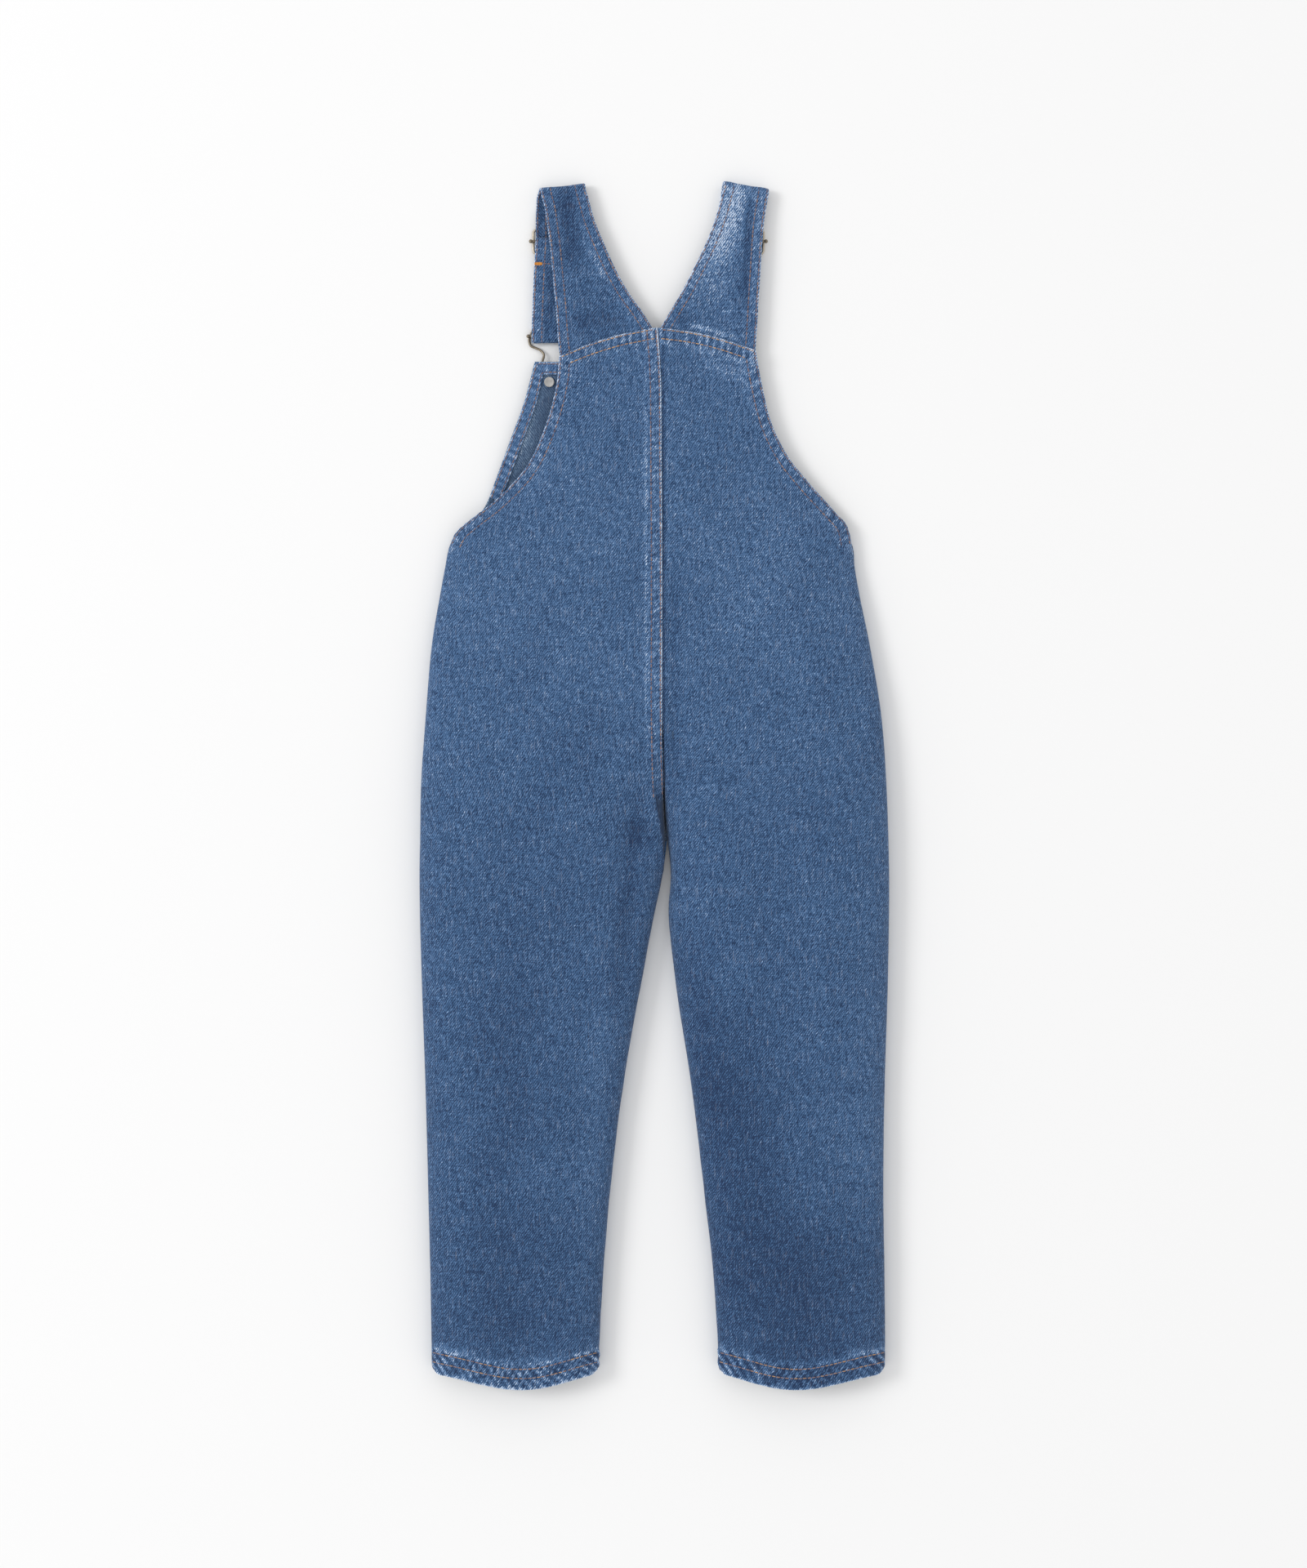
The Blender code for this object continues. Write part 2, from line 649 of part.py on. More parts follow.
def tube(name, points, radius, cyclic, finish, collection):
    """A wire through the points, as a curve with a round section."""
    curve = bpy.data.curves.new(name, "CURVE")
    curve.dimensions = "3D"
    curve.bevel_depth = radius * MM
    curve.bevel_resolution = 1
    curve.use_fill_caps = not cyclic
    line = curve.splines.new("POLY")
    line.points.add(len(points) - 1)
    for spot, (x, y, z) in zip(line.points, points):
        spot.co = (x * MM, y * MM, z * MM, 1)
    line.use_cyclic_u = cyclic
    return add_object(name, curve, finish, collection)


def turned(name, profile, place, axis, finish, collection, steps=20):
    """A body turned about +Z from a profile of radius and height, top to bottom, then laid along axis."""
    mesh = bpy.data.meshes.new(name)
    points = [(radius * MM, 0, z * MM) for radius, z in profile]
    mesh.from_pydata(points, [(i, i + 1) for i in range(len(points) - 1)], [])
    made = add_object(name, mesh, finish, collection)
    screw = made.modifiers.new("turn", "SCREW")
    screw.steps = steps
    screw.render_steps = steps
    screw.use_merge_vertices = True
    screw.merge_threshold = 0.00001
    made.location = [value * MM for value in place]
    if axis == "x":
        made.rotation_euler = (0, math.pi / 2, 0)
    return made


def frame_outline(centre_x):
    """The slider's rounded rectangle of wire."""
    points = []
    for quarter in range(4):
        sign_x = 1 if quarter in (0, 3) else -1
        sign_y = 1 if quarter in (0, 1) else -1
        middle_x = centre_x + sign_x * (SLIDER_HALF_WIDTH - SLIDER_CORNER)
        middle_y = SLIDER_Y + sign_y * (SLIDER_HALF_HEIGHT - SLIDER_CORNER)
        for step in range(5):
            angle = (quarter + step / 4) * math.pi / 2
            across, up = SLIDER_CORNER * math.cos(angle), SLIDER_CORNER * math.sin(angle)
            points.append((middle_x + across, middle_y + up, SLIDER_FRAME_Z))
    return points


def bar_profile(half_length, bar_r):
    """A bar with a ball at each end, from the top ball's pole to the bottom one's."""
    ball = [(BALL_R * math.sin(a), half_length + BALL_R * math.cos(a)) for a in np.linspace(0, 0.78 * math.pi, 6)]
    neck = (bar_r, half_length - BALL_R * 1.05)
    upper = ball + [neck]
    return upper + [(radius, -z) for radius, z in reversed(upper)]


def clip_points(button_x, strap_x):
    """The clip's wire: down one side, round the button's shank, and up the other."""

    def half(sign):
        return [
            (strap_x + (button_x - strap_x) * to_button + sign * half_width, y, z)
            for half_width, y, z, to_button in CLIP_WIRE
        ]

    low_y, slot_z = CLIP_WIRE[-1][1:3]
    turn = [
        (button_x - SLOT_R * math.cos(a), low_y - SLOT_R * math.sin(a), slot_z)
        for a in np.linspace(0, math.pi, 7)[1:-1]
    ]
    rough = np.array(half(-1) + turn + half(1)[::-1])
    knots = np.concatenate([[0], np.cumsum(np.linalg.norm(np.diff(rough, axis=0), axis=1))])
    return spline(knots, rough, np.linspace(0, knots[-1], 46))


def add_hardware(side, strap_front, collection):
    """The slider, the clip and the button of one side."""
    at_slider = strap_front[2]
    slider_x = (at_slider[0] + at_slider[2]) / 2
    at_clip = strap_front[-1]
    clip_x = (at_clip[0] + at_clip[2]) / 2
    button_x, button_y = BUTTONS[side]
    tube(f"slider_frame_{side}", frame_outline(slider_x), FRAME_R, True, "nickel", collection)
    turned(
        f"slider_bar_{side}",
        bar_profile(SLIDER_BALL_X, BAR_R),
        (slider_x, SLIDER_Y, SLIDER_BAR_Z),
        "x",
        "nickel",
        collection,
        12,
    )
    tube(f"clip_wire_{side}", clip_points(button_x, clip_x), WIRE_R, False, "nickel", collection)
    turned(
        f"clip_bar_{side}",
        bar_profile(CLIP_BALL_X, CLIP_BAR_R),
        (clip_x, CLIP_BAR_Y, CLIP_BAR_Z),
        "x",
        "nickel",
        collection,
        12,
    )
    bib_face = BIB_LIFT
    cap = [
        (0, bib_face - SEAM_GAP),
        (SHANK_R, bib_face - SEAM_GAP),
        (SHANK_R, BUTTON_CAP_Z),
        (BUTTON_R - 0.4, BUTTON_CAP_Z),
        (BUTTON_R, BUTTON_CAP_Z - 0.6),
        (BUTTON_R - 0.5, 0.5),
        (BUTTON_R - 1.8, 0),
        (0, 0),
    ]
    turned(f"bib_button_{side}", cap, (button_x, button_y, 0), "z", "zinc", collection)
    seat = bib_face + CLOTH + SEAM_GAP
    head = [
        (0, RIVET_THICK),
        (RIVET_R - 0.9, RIVET_THICK),
        (RIVET_R - 0.2, RIVET_THICK - 0.35),
        (RIVET_R, RIVET_THICK - 0.8),
        (RIVET_R - 0.2, 0),
        (0, 0),
    ]
    turned(f"bib_rivet_{side}", head, (button_x, button_y, seat), "z", "zinc", collection)


def main():
    clear_scene()
    collection = bpy.data.collections.new("denim_dungarees")
    bpy.context.scene.collection.children.link(collection)
    garment = bpy.data.objects.new("garment", None)
    garment.location = (0, CENTRE_SHIFT * MM, 0)
    collection.objects.link(garment)
    add_back("left", BACK_LEFT, True, collection)
    add_back("right", BACK_RIGHT, False, collection)
    add_front("left", FRONT_LEFT, collection)
    add_front("right", FRONT_RIGHT, collection)
    add_facing(collection)
    add_strap("strap_left", STRAP_BACK_LEFT, STRAP_FRONT_LEFT, collection)
    add_strap("strap_right", STRAP_BACK_RIGHT, STRAP_FRONT_RIGHT, collection)
    add_hardware("left", STRAP_FRONT_LEFT, collection)
    add_hardware("right", STRAP_FRONT_RIGHT, collection)


main()
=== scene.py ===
# %% [markdown]
# ## A pair of child's denim dungarees, laid face down
#
# This lesson dresses a packed set of solids as real denim. The solids already have the true size and the
# large folds. What they lack is what the eye reads as cloth: rounded edges, seams that ripple where two rows
# of stitching hold them, thread that stands on the surface, a twill weave, and the pale wear along each edge.
# The frame comes first, and each piece is then built in the solids' own place.

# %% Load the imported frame
import math

import bpy
import numpy as np
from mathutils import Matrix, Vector
from mathutils.bvhtree import BVHTree


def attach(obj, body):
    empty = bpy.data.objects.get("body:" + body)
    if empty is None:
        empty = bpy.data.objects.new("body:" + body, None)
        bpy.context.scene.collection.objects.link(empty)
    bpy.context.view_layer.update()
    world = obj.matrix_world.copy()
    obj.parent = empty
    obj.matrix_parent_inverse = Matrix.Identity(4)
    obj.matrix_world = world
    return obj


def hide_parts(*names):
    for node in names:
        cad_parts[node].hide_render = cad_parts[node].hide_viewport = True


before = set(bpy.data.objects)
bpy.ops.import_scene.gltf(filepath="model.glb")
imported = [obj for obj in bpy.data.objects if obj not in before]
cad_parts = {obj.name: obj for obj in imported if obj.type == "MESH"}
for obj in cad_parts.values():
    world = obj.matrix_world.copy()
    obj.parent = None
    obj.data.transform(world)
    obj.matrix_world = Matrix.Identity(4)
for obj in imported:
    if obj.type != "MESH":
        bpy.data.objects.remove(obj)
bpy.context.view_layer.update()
print("solids in the frame:", len(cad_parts))

# %% [markdown]
# ## Camera, floor and light
#
# The garment was photographed from straight above on a white surface, so the camera looks straight down from
# nearly two metres and its long side runs up the garment. The lens is worked out from the height of the field
# that the frame has to show. One large soft lamp from the upper left gives the gentle shadows on the right of
# each leg, and a white world fills them, as the white walls of a studio would.

# %% Camera
MM = 0.001
FIELD_HEIGHT = 1056 * MM  # what the frame shows from top to bottom, at the cloth
CLOTH_HEIGHT = 9 * MM
CAMERA_HEIGHT = 1.9
SENSOR = 36.0
CAMERA_X, CAMERA_Y = -0.55 * MM, -0.42 * MM

camera_data = bpy.data.cameras.new("camera")
camera_data.sensor_fit = "VERTICAL"
camera_data.sensor_height = SENSOR
camera_data.lens = SENSOR * (CAMERA_HEIGHT - CLOTH_HEIGHT) / FIELD_HEIGHT
camera_data.clip_end = 50
camera = bpy.data.objects.new("camera", camera_data)
camera.location = (CAMERA_X, CAMERA_Y, CAMERA_HEIGHT)
bpy.context.scene.collection.objects.link(camera)
bpy.context.scene.camera = camera
bpy.context.scene.view_settings.view_transform = "Standard"
print("lens in millimetres:", round(camera_data.lens, 2))

# %% Soft light
WORLD_STRENGTH = 0.855
LAMP_POWER = 150.0
LAMP_SIZE = 2.2
LAMP_PLACE = Vector((-5.0, 1.2, 4.2))

world = bpy.data.worlds.new("studio")
world.use_nodes = True
world.node_tree.nodes["Background"].inputs["Color"].default_value = (1, 1, 1, 1)
world.node_tree.nodes["Background"].inputs["Strength"].default_value = WORLD_STRENGTH
bpy.context.scene.world = world

lamp_data = bpy.data.lights.new("softbox", "AREA")
lamp_data.energy = LAMP_POWER
lamp_data.size = LAMP_SIZE
lamp = bpy.data.objects.new("softbox", lamp_data)
lamp.location = LAMP_PLACE
lamp.rotation_euler = LAMP_PLACE.to_track_quat("Z", "Y").to_euler()
bpy.context.scene.collection.objects.link(lamp)

# %% [markdown]
# ## Shader maths in Python
#
# A finish is a sum of small patterns, and a long chain of Math nodes is hard to read. The class below wraps
# one socket, so that an expression such as `0.4 + 0.3 * ridge` adds the nodes by itself. Every other node
# comes from one method, which sets the node's own settings first and then its sockets.


# %% One wrapped socket
class Value:
    """A socket that carries a number. Arithmetic on it adds Math nodes to its finish."""

    def __init__(self, finish, socket):
        self.finish = finish
        self.socket = socket

    def maths(self, operation, *others):
        settings = {"operation": operation}
        sockets = dict(enumerate((self, *others)))
        return Value(self.finish, self.finish.node("ShaderNodeMath", settings, sockets).outputs[0])

    def __add__(self, other):
        return self.maths("ADD", other)

    __radd__ = __add__

    def __mul__(self, other):
        return self.maths("MULTIPLY", other)

    __rmul__ = __mul__

    def __sub__(self, other):
        return self.maths("SUBTRACT", other)

    def __rsub__(self, other):
        return self.maths("MULTIPLY", -1.0) + other

    def __truediv__(self, other):
        return self.maths("DIVIDE", other)

    def clamped(self):
        return self.maths("MAXIMUM", 0.0).maths("MINIMUM", 1.0)


# %% One finish
class Finish:
    """A material with its shader, and the one method that adds any node to it."""

    def __init__(self, name, **constants):
        self.material = bpy.data.materials.new(name)
        self.material.use_nodes = True
        self.tree = self.material.node_tree
        self.shader = self.tree.nodes["Principled BSDF"]
        for socket, value in constants.items():
            self.shader.inputs[socket.replace("_", " ")].default_value = value

    def put(self, socket, value):
        if isinstance(value, Value):
            value = value.socket
        if isinstance(value, bpy.types.NodeSocket):
            self.tree.links.new(value, socket)
        else:
            socket.default_value = value

    def node(self, kind, settings=None, sockets=None):
        made = self.tree.nodes.new(kind)
        for name, value in (settings or {}).items():
            if name == "stops":
                ramp = made.color_ramp
                while len(ramp.elements) < len(value):
                    ramp.elements.new(0.5)
                for element, (place, colour) in zip(ramp.elements, value):
                    element.position = place
                    element.color = (*colour, 1)
            else:
                setattr(made, name, value)
        for name, value in (sockets or {}).items():
            self.put(made.inputs[name], value)
        return made

    def vector(self, x, y, z=0.0):
        return self.node("ShaderNodeCombineXYZ", None, {"X": x, "Y": y, "Z": z}).outputs[0]

    def noise(self, place, detail=2.0, roughness=0.5):
        """Soft noise about zero, with cells one unit across, at the place given."""
        sockets = {"Vector": place, "Scale": 1.0, "Detail": detail, "Roughness": roughness}
        made = self.node("ShaderNodeTexNoise", {"noise_dimensions": "3D"}, sockets)
        return Value(self, made.outputs["Fac"]) - 0.5

    def attribute(self, name):
        return self.node("ShaderNodeAttribute", {"attribute_name": name})

    def ramp(self, value, stops):
        return self.node("ShaderNodeValToRGB", {"stops": stops}, {"Fac": value}).outputs["Color"]

    def mixed(self, share, first, second):
        """One colour mixed into another. The colour sockets of a Mix node are known by number only."""
        made = self.node("ShaderNodeMix", {"data_type": "RGBA"}, {"Factor": share, 6: first, 7: (*second, 1)})
        return made.outputs[2]

    def bump(self, height, distance, strength=1.0):
        sockets = {"Height": height, "Distance": distance, "Strength": strength}
        return self.node("ShaderNodeBump", None, sockets).outputs["Normal"]

    def surface(self, **sockets):
        for name, value in sockets.items():
            self.put(self.shader.inputs[name.replace("_", " ")], value)


def colour(red, green, blue):
    """A colour as read off a screen, from 0 to 255, in the linear values that a shader needs."""
    shares = [value / 255 for value in (red, green, blue)]
    return tuple(v / 12.92 if v < 0.0405 else ((v + 0.055) / 1.055) ** 2.4 for v in shares)


# %% [markdown]
# ## The floor
#
# The surface is plain white paper or card. It only has to take the soft shadow, so it is one flat sheet just
# under the cloth, with a trace of unevenness in its roughness.

# %% White floor
FLOOR_HALF = 4.0
FLOOR_DROP = 0.3 * MM
FLOOR_WHITE = 0.9

floor_finish = Finish("floor_white", Base_Color=(FLOOR_WHITE, FLOOR_WHITE, FLOOR_WHITE, 1))
floor_grain = floor_finish.node("ShaderNodeTexNoise", None, {"Scale": 40.0})
floor_finish.surface(Roughness=0.9 + 0.1 * Value(floor_finish, floor_grain.outputs["Fac"]))
floor_mesh = bpy.data.meshes.new("floor")
floor_corners = [(x, y, -FLOOR_DROP) for x, y in ((-1, -1), (1, -1), (1, 1), (-1, 1))]
floor_mesh.from_pydata([(x * FLOOR_HALF, y * FLOOR_HALF, z) for x, y, z in floor_corners], [], [(0, 1, 2, 3)])
floor_mesh.materials.append(floor_finish.material)
floor = bpy.data.objects.new("floor", floor_mesh)
bpy.context.scene.collection.objects.link(floor)

# %% [markdown]
# ## Denim
#
# Denim is a twill: each dark indigo yarn that runs down the leg floats over two or three pale cross yarns and
# then dives under one, and each float starts one step further along than its neighbour. The eye sees fine
# slanted ribs with pale specks between them. Washing takes the dye off whatever stands up. An image would
# repeat and would show its pixels close up, so the weave is summed from a slanted wave, specks drawn out
# along the ribs, streaks of thick and thin yarn, and slow clouds of fading. All of it is read in the cloth's
# own millimetres, stored on each mesh, so the ribs follow the cut of every piece.

# %% The twill's driving sizes
RIB_PITCH = 1.32  # millimetres from one slanted rib to the next
RIB_SLANT = math.radians(56)
RIB_JITTER = 1.6  # how far slow noise pushes the ribs out of line, in millimetres
FLOAT_LENGTH = 2.8
FLOAT_WIDTH = 0.85
YARN_WIDTH = 0.8
SLUB_LENGTH = 11.0  # how long a thick or thin place in a yarn is
GRAIN = 0.72
MOTTLE_SIZE = 4.5
CLOUD_SIZE = 30.0
WEAVE_HEIGHT = 0.16 * MM


def twill(finish):
    """The weave's relief, and a tone that is 0 on the darkest yarn and 1 on the palest."""
    place = finish.attribute("cloth").outputs["Vector"]
    split = finish.node("ShaderNodeSeparateXYZ", None, {"Vector": place})
    across, along = Value(finish, split.outputs["X"]), Value(finish, split.outputs["Y"])
    drift = finish.noise(finish.vector(across / 4.0, along / 7.0), 1.0) * RIB_JITTER
    up_rib = across * math.cos(RIB_SLANT) + along * math.sin(RIB_SLANT)
    over_rib = across * math.sin(RIB_SLANT) - along * math.cos(RIB_SLANT) + drift
    rib = (over_rib * (2 * math.pi / RIB_PITCH)).maths("COSINE") * 0.5
    float_place = finish.vector(over_rib / FLOAT_WIDTH, up_rib / FLOAT_LENGTH)
    specks = finish.noise(float_place, 2.0, 0.65)
    slubs = finish.noise(finish.vector(across / YARN_WIDTH, along / SLUB_LENGTH, 7.0), 1.0)
    picks = finish.noise(finish.vector(across / SLUB_LENGTH, along / YARN_WIDTH, 3.0), 1.0)
    grain = finish.noise(finish.vector(across / GRAIN, along / GRAIN, 11.0), 1.0, 0.6)
    mottle = finish.noise(finish.vector(across / MOTTLE_SIZE, along / MOTTLE_SIZE, 9.0), 2.0, 0.6)
    clouds = finish.noise(finish.vector(across / CLOUD_SIZE, along / (CLOUD_SIZE * 1.6), 5.0), 2.0)
    relief = rib * 0.5 + specks * 1.2 + grain * 0.6
    fine = rib * 0.50 + specks * 1.95 + grain * 1.3
    tone = fine + slubs * 0.85 + picks * 0.35 + mottle * 0.35 + clouds * 0.22
    return relief, tone, slubs


# %% The right side and the wrong side
DENIM_STOPS = (
    # place, linear colour
    (0.0, colour(25, 47, 81)),
    (0.30, colour(51, 85, 124)),
    (0.55, colour(79, 112, 154)),
    (0.84, colour(119, 150, 189)),
    (1.0, colour(196, 211, 232)),
)
BROWN_SLUB = colour(102, 102, 114)  # here and there a thick yarn has gone grey-brown
INSIDE_STOPS = (
    # place, linear colour
    (0.0, colour(46, 66, 95)),
    (0.35, colour(77, 101, 130)),
    (0.60, colour(103, 127, 153)),
    (1.0, colour(170, 190, 212)),
)


def denim(name, stops, middle, contrast):
    """Denim whose dye runs through the stops, about a middle tone and with a contrast in the weave."""
    finish = Finish(name, Sheen_Weight=0.12, Sheen_Roughness=0.6, Specular_IOR_Level=0.25)
    relief, tone, slubs = twill(finish)
    # the attribute read here holds the wear together with painted light and shade, and its paler part also
    # sharpens the weave
    wear = Value(finish, finish.attribute("wear").outputs["Fac"])
    worn_lit_and_shaded = wear.maths("MAXIMUM", 0.0).maths("MINIMUM", 0.4)
    shade = (tone * (contrast + 1.2 * worn_lit_and_shaded) + wear + middle).clamped()
    brown = (slubs * 5.0 - 0.50).clamped() * 0.55
    finish.surface(
        Base_Color=finish.mixed(brown, finish.ramp(shade, stops), BROWN_SLUB),
        Roughness=0.95 - 0.15 * shade,
        Normal=finish.bump(relief, WEAVE_HEIGHT, 0.7),
    )
    return finish.material


denim_right = denim("denim", DENIM_STOPS, 0.335, 0.80)
denim_turned = denim("denim_turned", DENIM_STOPS, 0.36, 0.52)
denim_wrong = denim("denim_inside", INSIDE_STOPS, 0.17, 0.5)
print("denim nodes:", len(denim_right.node_tree.nodes))

# %% [markdown]
# ## Thread and metal
#
# The topstitching is thick cotton in a faded tan that has taken up some of the blue in the wash. The buttons
# and rivets are dull cast zinc, and the wire of the sliders and clips is nickel that has yellowed and gone
# dark in its hollows. Each finish is noise at the size of its own flaws: fibres in the thread, and fine pits
# and slow clouds in the zinc and on the wire.


# %% Topstitching thread
def thread_finish(name, stops):
    finish = Finish(name, Sheen_Weight=0.1, Specular_IOR_Level=0.3)
    place = finish.attribute("cloth").outputs["Vector"]
    split = finish.node("ShaderNodeSeparateXYZ", None, {"Vector": place})
    along, round_it = Value(finish, split.outputs["X"]), Value(finish, split.outputs["Y"])
    twist = ((along * 2.4 + round_it) * (2 * math.pi)).maths("SINE")
    fibres = finish.noise(finish.vector(along * 6.0, round_it * 5.0, 1.0), 2.0, 0.6)
    tone = Value(finish, finish.attribute("wear").outputs["Fac"])
    shade = (tone + fibres * 0.45 + twist * 0.1).clamped()
    finish.surface(
        Base_Color=finish.ramp(shade, stops),
        Roughness=0.8 + 0.1 * shade,
        Normal=finish.bump(twist, 0.04 * MM),
    )
    return finish.material


TAN_STOPS = (
    # place, linear colour
    (0.0, colour(68, 68, 92)),
    (0.40, colour(138, 119, 124)),
    (0.75, colour(170, 136, 108)),
    (1.0, colour(204, 168, 132)),
)
ORANGE_STOPS = ((0.0, colour(168, 100, 36)), (1.0, colour(240, 166, 74)))
tan_thread = thread_finish("thread_tan", TAN_STOPS)
orange_thread = thread_finish("thread_orange", ORANGE_STOPS)


# %% Zinc and nickel
def metal(name, dark, light, pit, roughness):
    finish = Finish(name, Metallic=1.0)
    place = finish.node("ShaderNodeTexCoord").outputs["Object"]
    pits = finish.node("ShaderNodeTexNoise", None, {"Vector": place, "Scale": 1 / pit, "Detail": 3.0})
    clouds = finish.node("ShaderNodeTexNoise", None, {"Vector": place, "Scale": 1 / (pit * 9), "Detail": 2.0})
    fine, slow = Value(finish, pits.outputs["Fac"]), Value(finish, clouds.outputs["Fac"])
    finish.surface(
        Base_Color=finish.ramp((fine * 0.5 + slow * 0.6).clamped(), ((0.3, dark), (0.75, light))),
        Roughness=roughness + 0.25 * fine,
        Normal=finish.bump(fine, 0.05 * MM, 0.5),
    )
    return finish.material


zinc = metal("zinc", colour(150, 148, 146), colour(200, 199, 197), 0.5 * MM, 0.5)
nickel = metal("nickel", colour(88, 78, 66), colour(158, 148, 132), 0.7 * MM, 0.28)
pale_nickel = metal("nickel_pale", colour(150, 140, 124), colour(216, 206, 190), 0.7 * MM, 0.34)
print("finishes:", len(bpy.data.materials))

# %% [markdown]
# ## The cut of the garment
#
# The pieces lie where the solids lie, so the same tables drive both: for each panel, the outer and inner edge
# at a handful of heights, and for the whole garment, how high it stands. All of these are in millimetres. A
# smooth cubic runs through each table, so a piece can have as many rows as it needs.

# %% Driving sizes
CENTRE_SHIFT = -0.97  # the tables are this far off the middle of the whole garment
CLOTH = 1.2
SEAM_GAP = 0.3
CROTCH_Y = -38.0
UNDERARM_Y = 163.0
LAP_RISE = 0.8  # how far the cloth stands up over the layers of a lapped seam
LAP_WIDTH = 6.5
LAP_RAMP = 3.5
HEM_BOW = 9.4  # how far the back's hem hangs below its corners
BACK_LENGTH = 705.0
YOKE_BOW = 2.8  # how far the top of each half rises above its ends
BIB_LIFT = 4.7  # how high the buttons prop up the bib's top
LEG_ROWS = 9  # the rows of each panel from the hem to the crotch

# %% Panels
BACK_LEFT = (
    # side_x, side_y, centre_x, centre_y
    (-149.8, -396, -37.6, -396),
    (-150.0, -380, -37.2, -380),
    (-150.8, -330, -34.5, -330),
    (-152.3, -270, -29.5, -270),
    (-154.2, -200, -20.6, -200),
    (-156.6, -130, -8.4, -130),
    (-157.8, -85, 0.4, -85),
    (-158.0, -58, 6.0, -58),
    (-157.6, CROTCH_Y, 8.6, CROTCH_Y),
    (-157.0, 0, 6.3, 0),
    (-154.0, 45, 5.3, 45),
    (-149.8, 95, 5.3, 97),
    (-144.6, 127, 5.3, 140),
    (-141.2, 146, 5.3, 162),
    (-137.3, UNDERARM_Y, 5.2, 182),
    (-134.2, 169, 5.15, 192),
    (-126.5, 176.5, 5.0, 212),
    (-104.0, 194.5, 4.9, 235),
    (-84.5, 217, 4.8, 256),
    (-73.0, 243, 4.5, 274),
    (-66.2, 268, 3.6, 290),
    (-64.0, 288.6, 2.0, 307.8),
)
BACK_RIGHT = (
    # side_x, side_y, centre_x, centre_y
    (155.2, -396, 43.2, -396),
    (155.4, -380, 42.9, -380),
    (155.0, -330, 39.8, -330),
    (154.2, -270, 33.2, -270),
    (155.2, -200, 24.6, -200),
    (157.3, -130, 14.0, -130),
    (158.0, -85, 9.8, -85),
    (158.0, -58, 11.0, -58),
    (157.6, CROTCH_Y, 8.9, CROTCH_Y),
    (156.2, 0, 6.6, 0),
    (153.0, 45, 5.6, 45),
    (145.0, 95, 5.6, 97),
    (138.5, 127, 5.6, 140),
    (135.2, 146, 5.6, 162),
    (132.9, UNDERARM_Y, 5.5, 182),
    (130.6, 173, 5.45, 192),
    (121.5, 184.5, 5.3, 212),
    (103.0, 205, 5.2, 235),
    (88.0, 224.5, 5.1, 256),
    (78.0, 246.5, 4.8, 274),
    (72.0, 272, 3.9, 290),
    (68.4, 292.5, 2.3, 307.8),
)
FRONT_LEFT = BACK_LEFT[:LEG_ROWS] + (
    # side_x, side_y, centre_x, centre_y
    (-157.0, 0, 5.2, 0),
    (-154.0, 45, 3.4, 45),
    (-149.8, 95, 1.2, 97),
    (-144.6, 127, -0.8, 140),
    (-141.2, 146, -1.7, 160),
    (-137.3, UNDERARM_Y, -2.9, 180),
    (-127.0, 174, -4.2, 200),
    (-114.5, 188, -5.2, 218),
    (-106.2, 208.5, -6.2, 236),
    (-96.4, 235, -7.0, 254),
    (-87.8, 258.5, -7.6, 270),
    (-80.7, 285.5, -8.0, 285.5),
)
FRONT_RIGHT = BACK_RIGHT[:LEG_ROWS] + (
    # side_x, side_y, centre_x, centre_y
    (156.2, 0, 5.5, 0),
    (153.0, 45, 3.7, 45),
    (145.0, 95, 1.5, 97),
    (138.5, 127, -0.5, 140),
    (135.2, 146, -1.4, 160),
    (132.9, UNDERARM_Y, -2.6, 180),
    (119.5, 177, -3.9, 200),
    (101.5, 196, -4.9, 218),
    (90.5, 211.5, -5.9, 236),
    (79.2, 233.5, -6.7, 254),
    (69.2, 257.5, -7.3, 270),
    (62.3, 285.5, -7.7, 285.5),
)

# %% Heights above the floor, by y
LEG_TOP = ((-403, 20.5), (-380, 22), (-330, 23.5), (-200, 25), (-100, 27), (CROTCH_Y, 27.5), (60, 27.5))
BODY_TOP = (
    # y, height
    (-60, 26),
    (0, 28),
    (50, 27.5),
    (100, 24.5),
    (140, 20.5),
    (165, 17.8),
    (190, 15.2),
    (220, 12.8),
    (250, 11.2),
    (280, 10.2),
    (312, 9.6),
)
SIDE_SEAM = ((-400, 8.5), (-200, 9), (-60, 9.5), (0, 9.5), (60, 8.5), (120, 6.8), (UNDERARM_Y, 5.2))
ARMHOLE_EDGE = ((UNDERARM_Y, 5.35), (171, 7.2), (182, 8.3), (200, 8.9), (230, 9.2), (260, 9.4), (295, 9.4))
INSEAM = ((-400, 8.5), (-200, 9), (-60, 8.6), (CROTCH_Y, 8.0))

# %% [markdown]
# The cloth is relaxed, so its folds are few and shallow: a trough beside the centre seam, slack below the
# seat, and soft drags over the thighs and down one shin. Each is listed as a line with a depth and a width,
# because a drape simulation would put them anywhere.

# %% Soft folds
CREASES = (
    # x0, y0, x1, y1, depth, width
    (-14, 5, -19, -165, 1.6, 9),
    (16, 70, 17, -20, 1.3, 8),
    (-40, -20, -62, -150, 0.9, 16),
    (112, -190, 136, -300, 1.1, 14),
    (-120, 120, -138, 20, 0.9, 14),
    (118, 110, 136, 10, 0.9, 14),
    (-96, -250, -88, -370, 1.0, 15),
    (70, -40, 84, -170, 0.8, 16),
)
FINE_FOLDS = (
    # x0, y0, x1, y1, depth, width
    (12, 155, 12.5, -8, 0.9, 4.0),
    (-15, 302, -7, 284, 0.5, 3.0),
    (-9, -10, -22, -70, 0.7, 5.0),
    (24, -20, 40, -66, 0.5, 6.0),
)
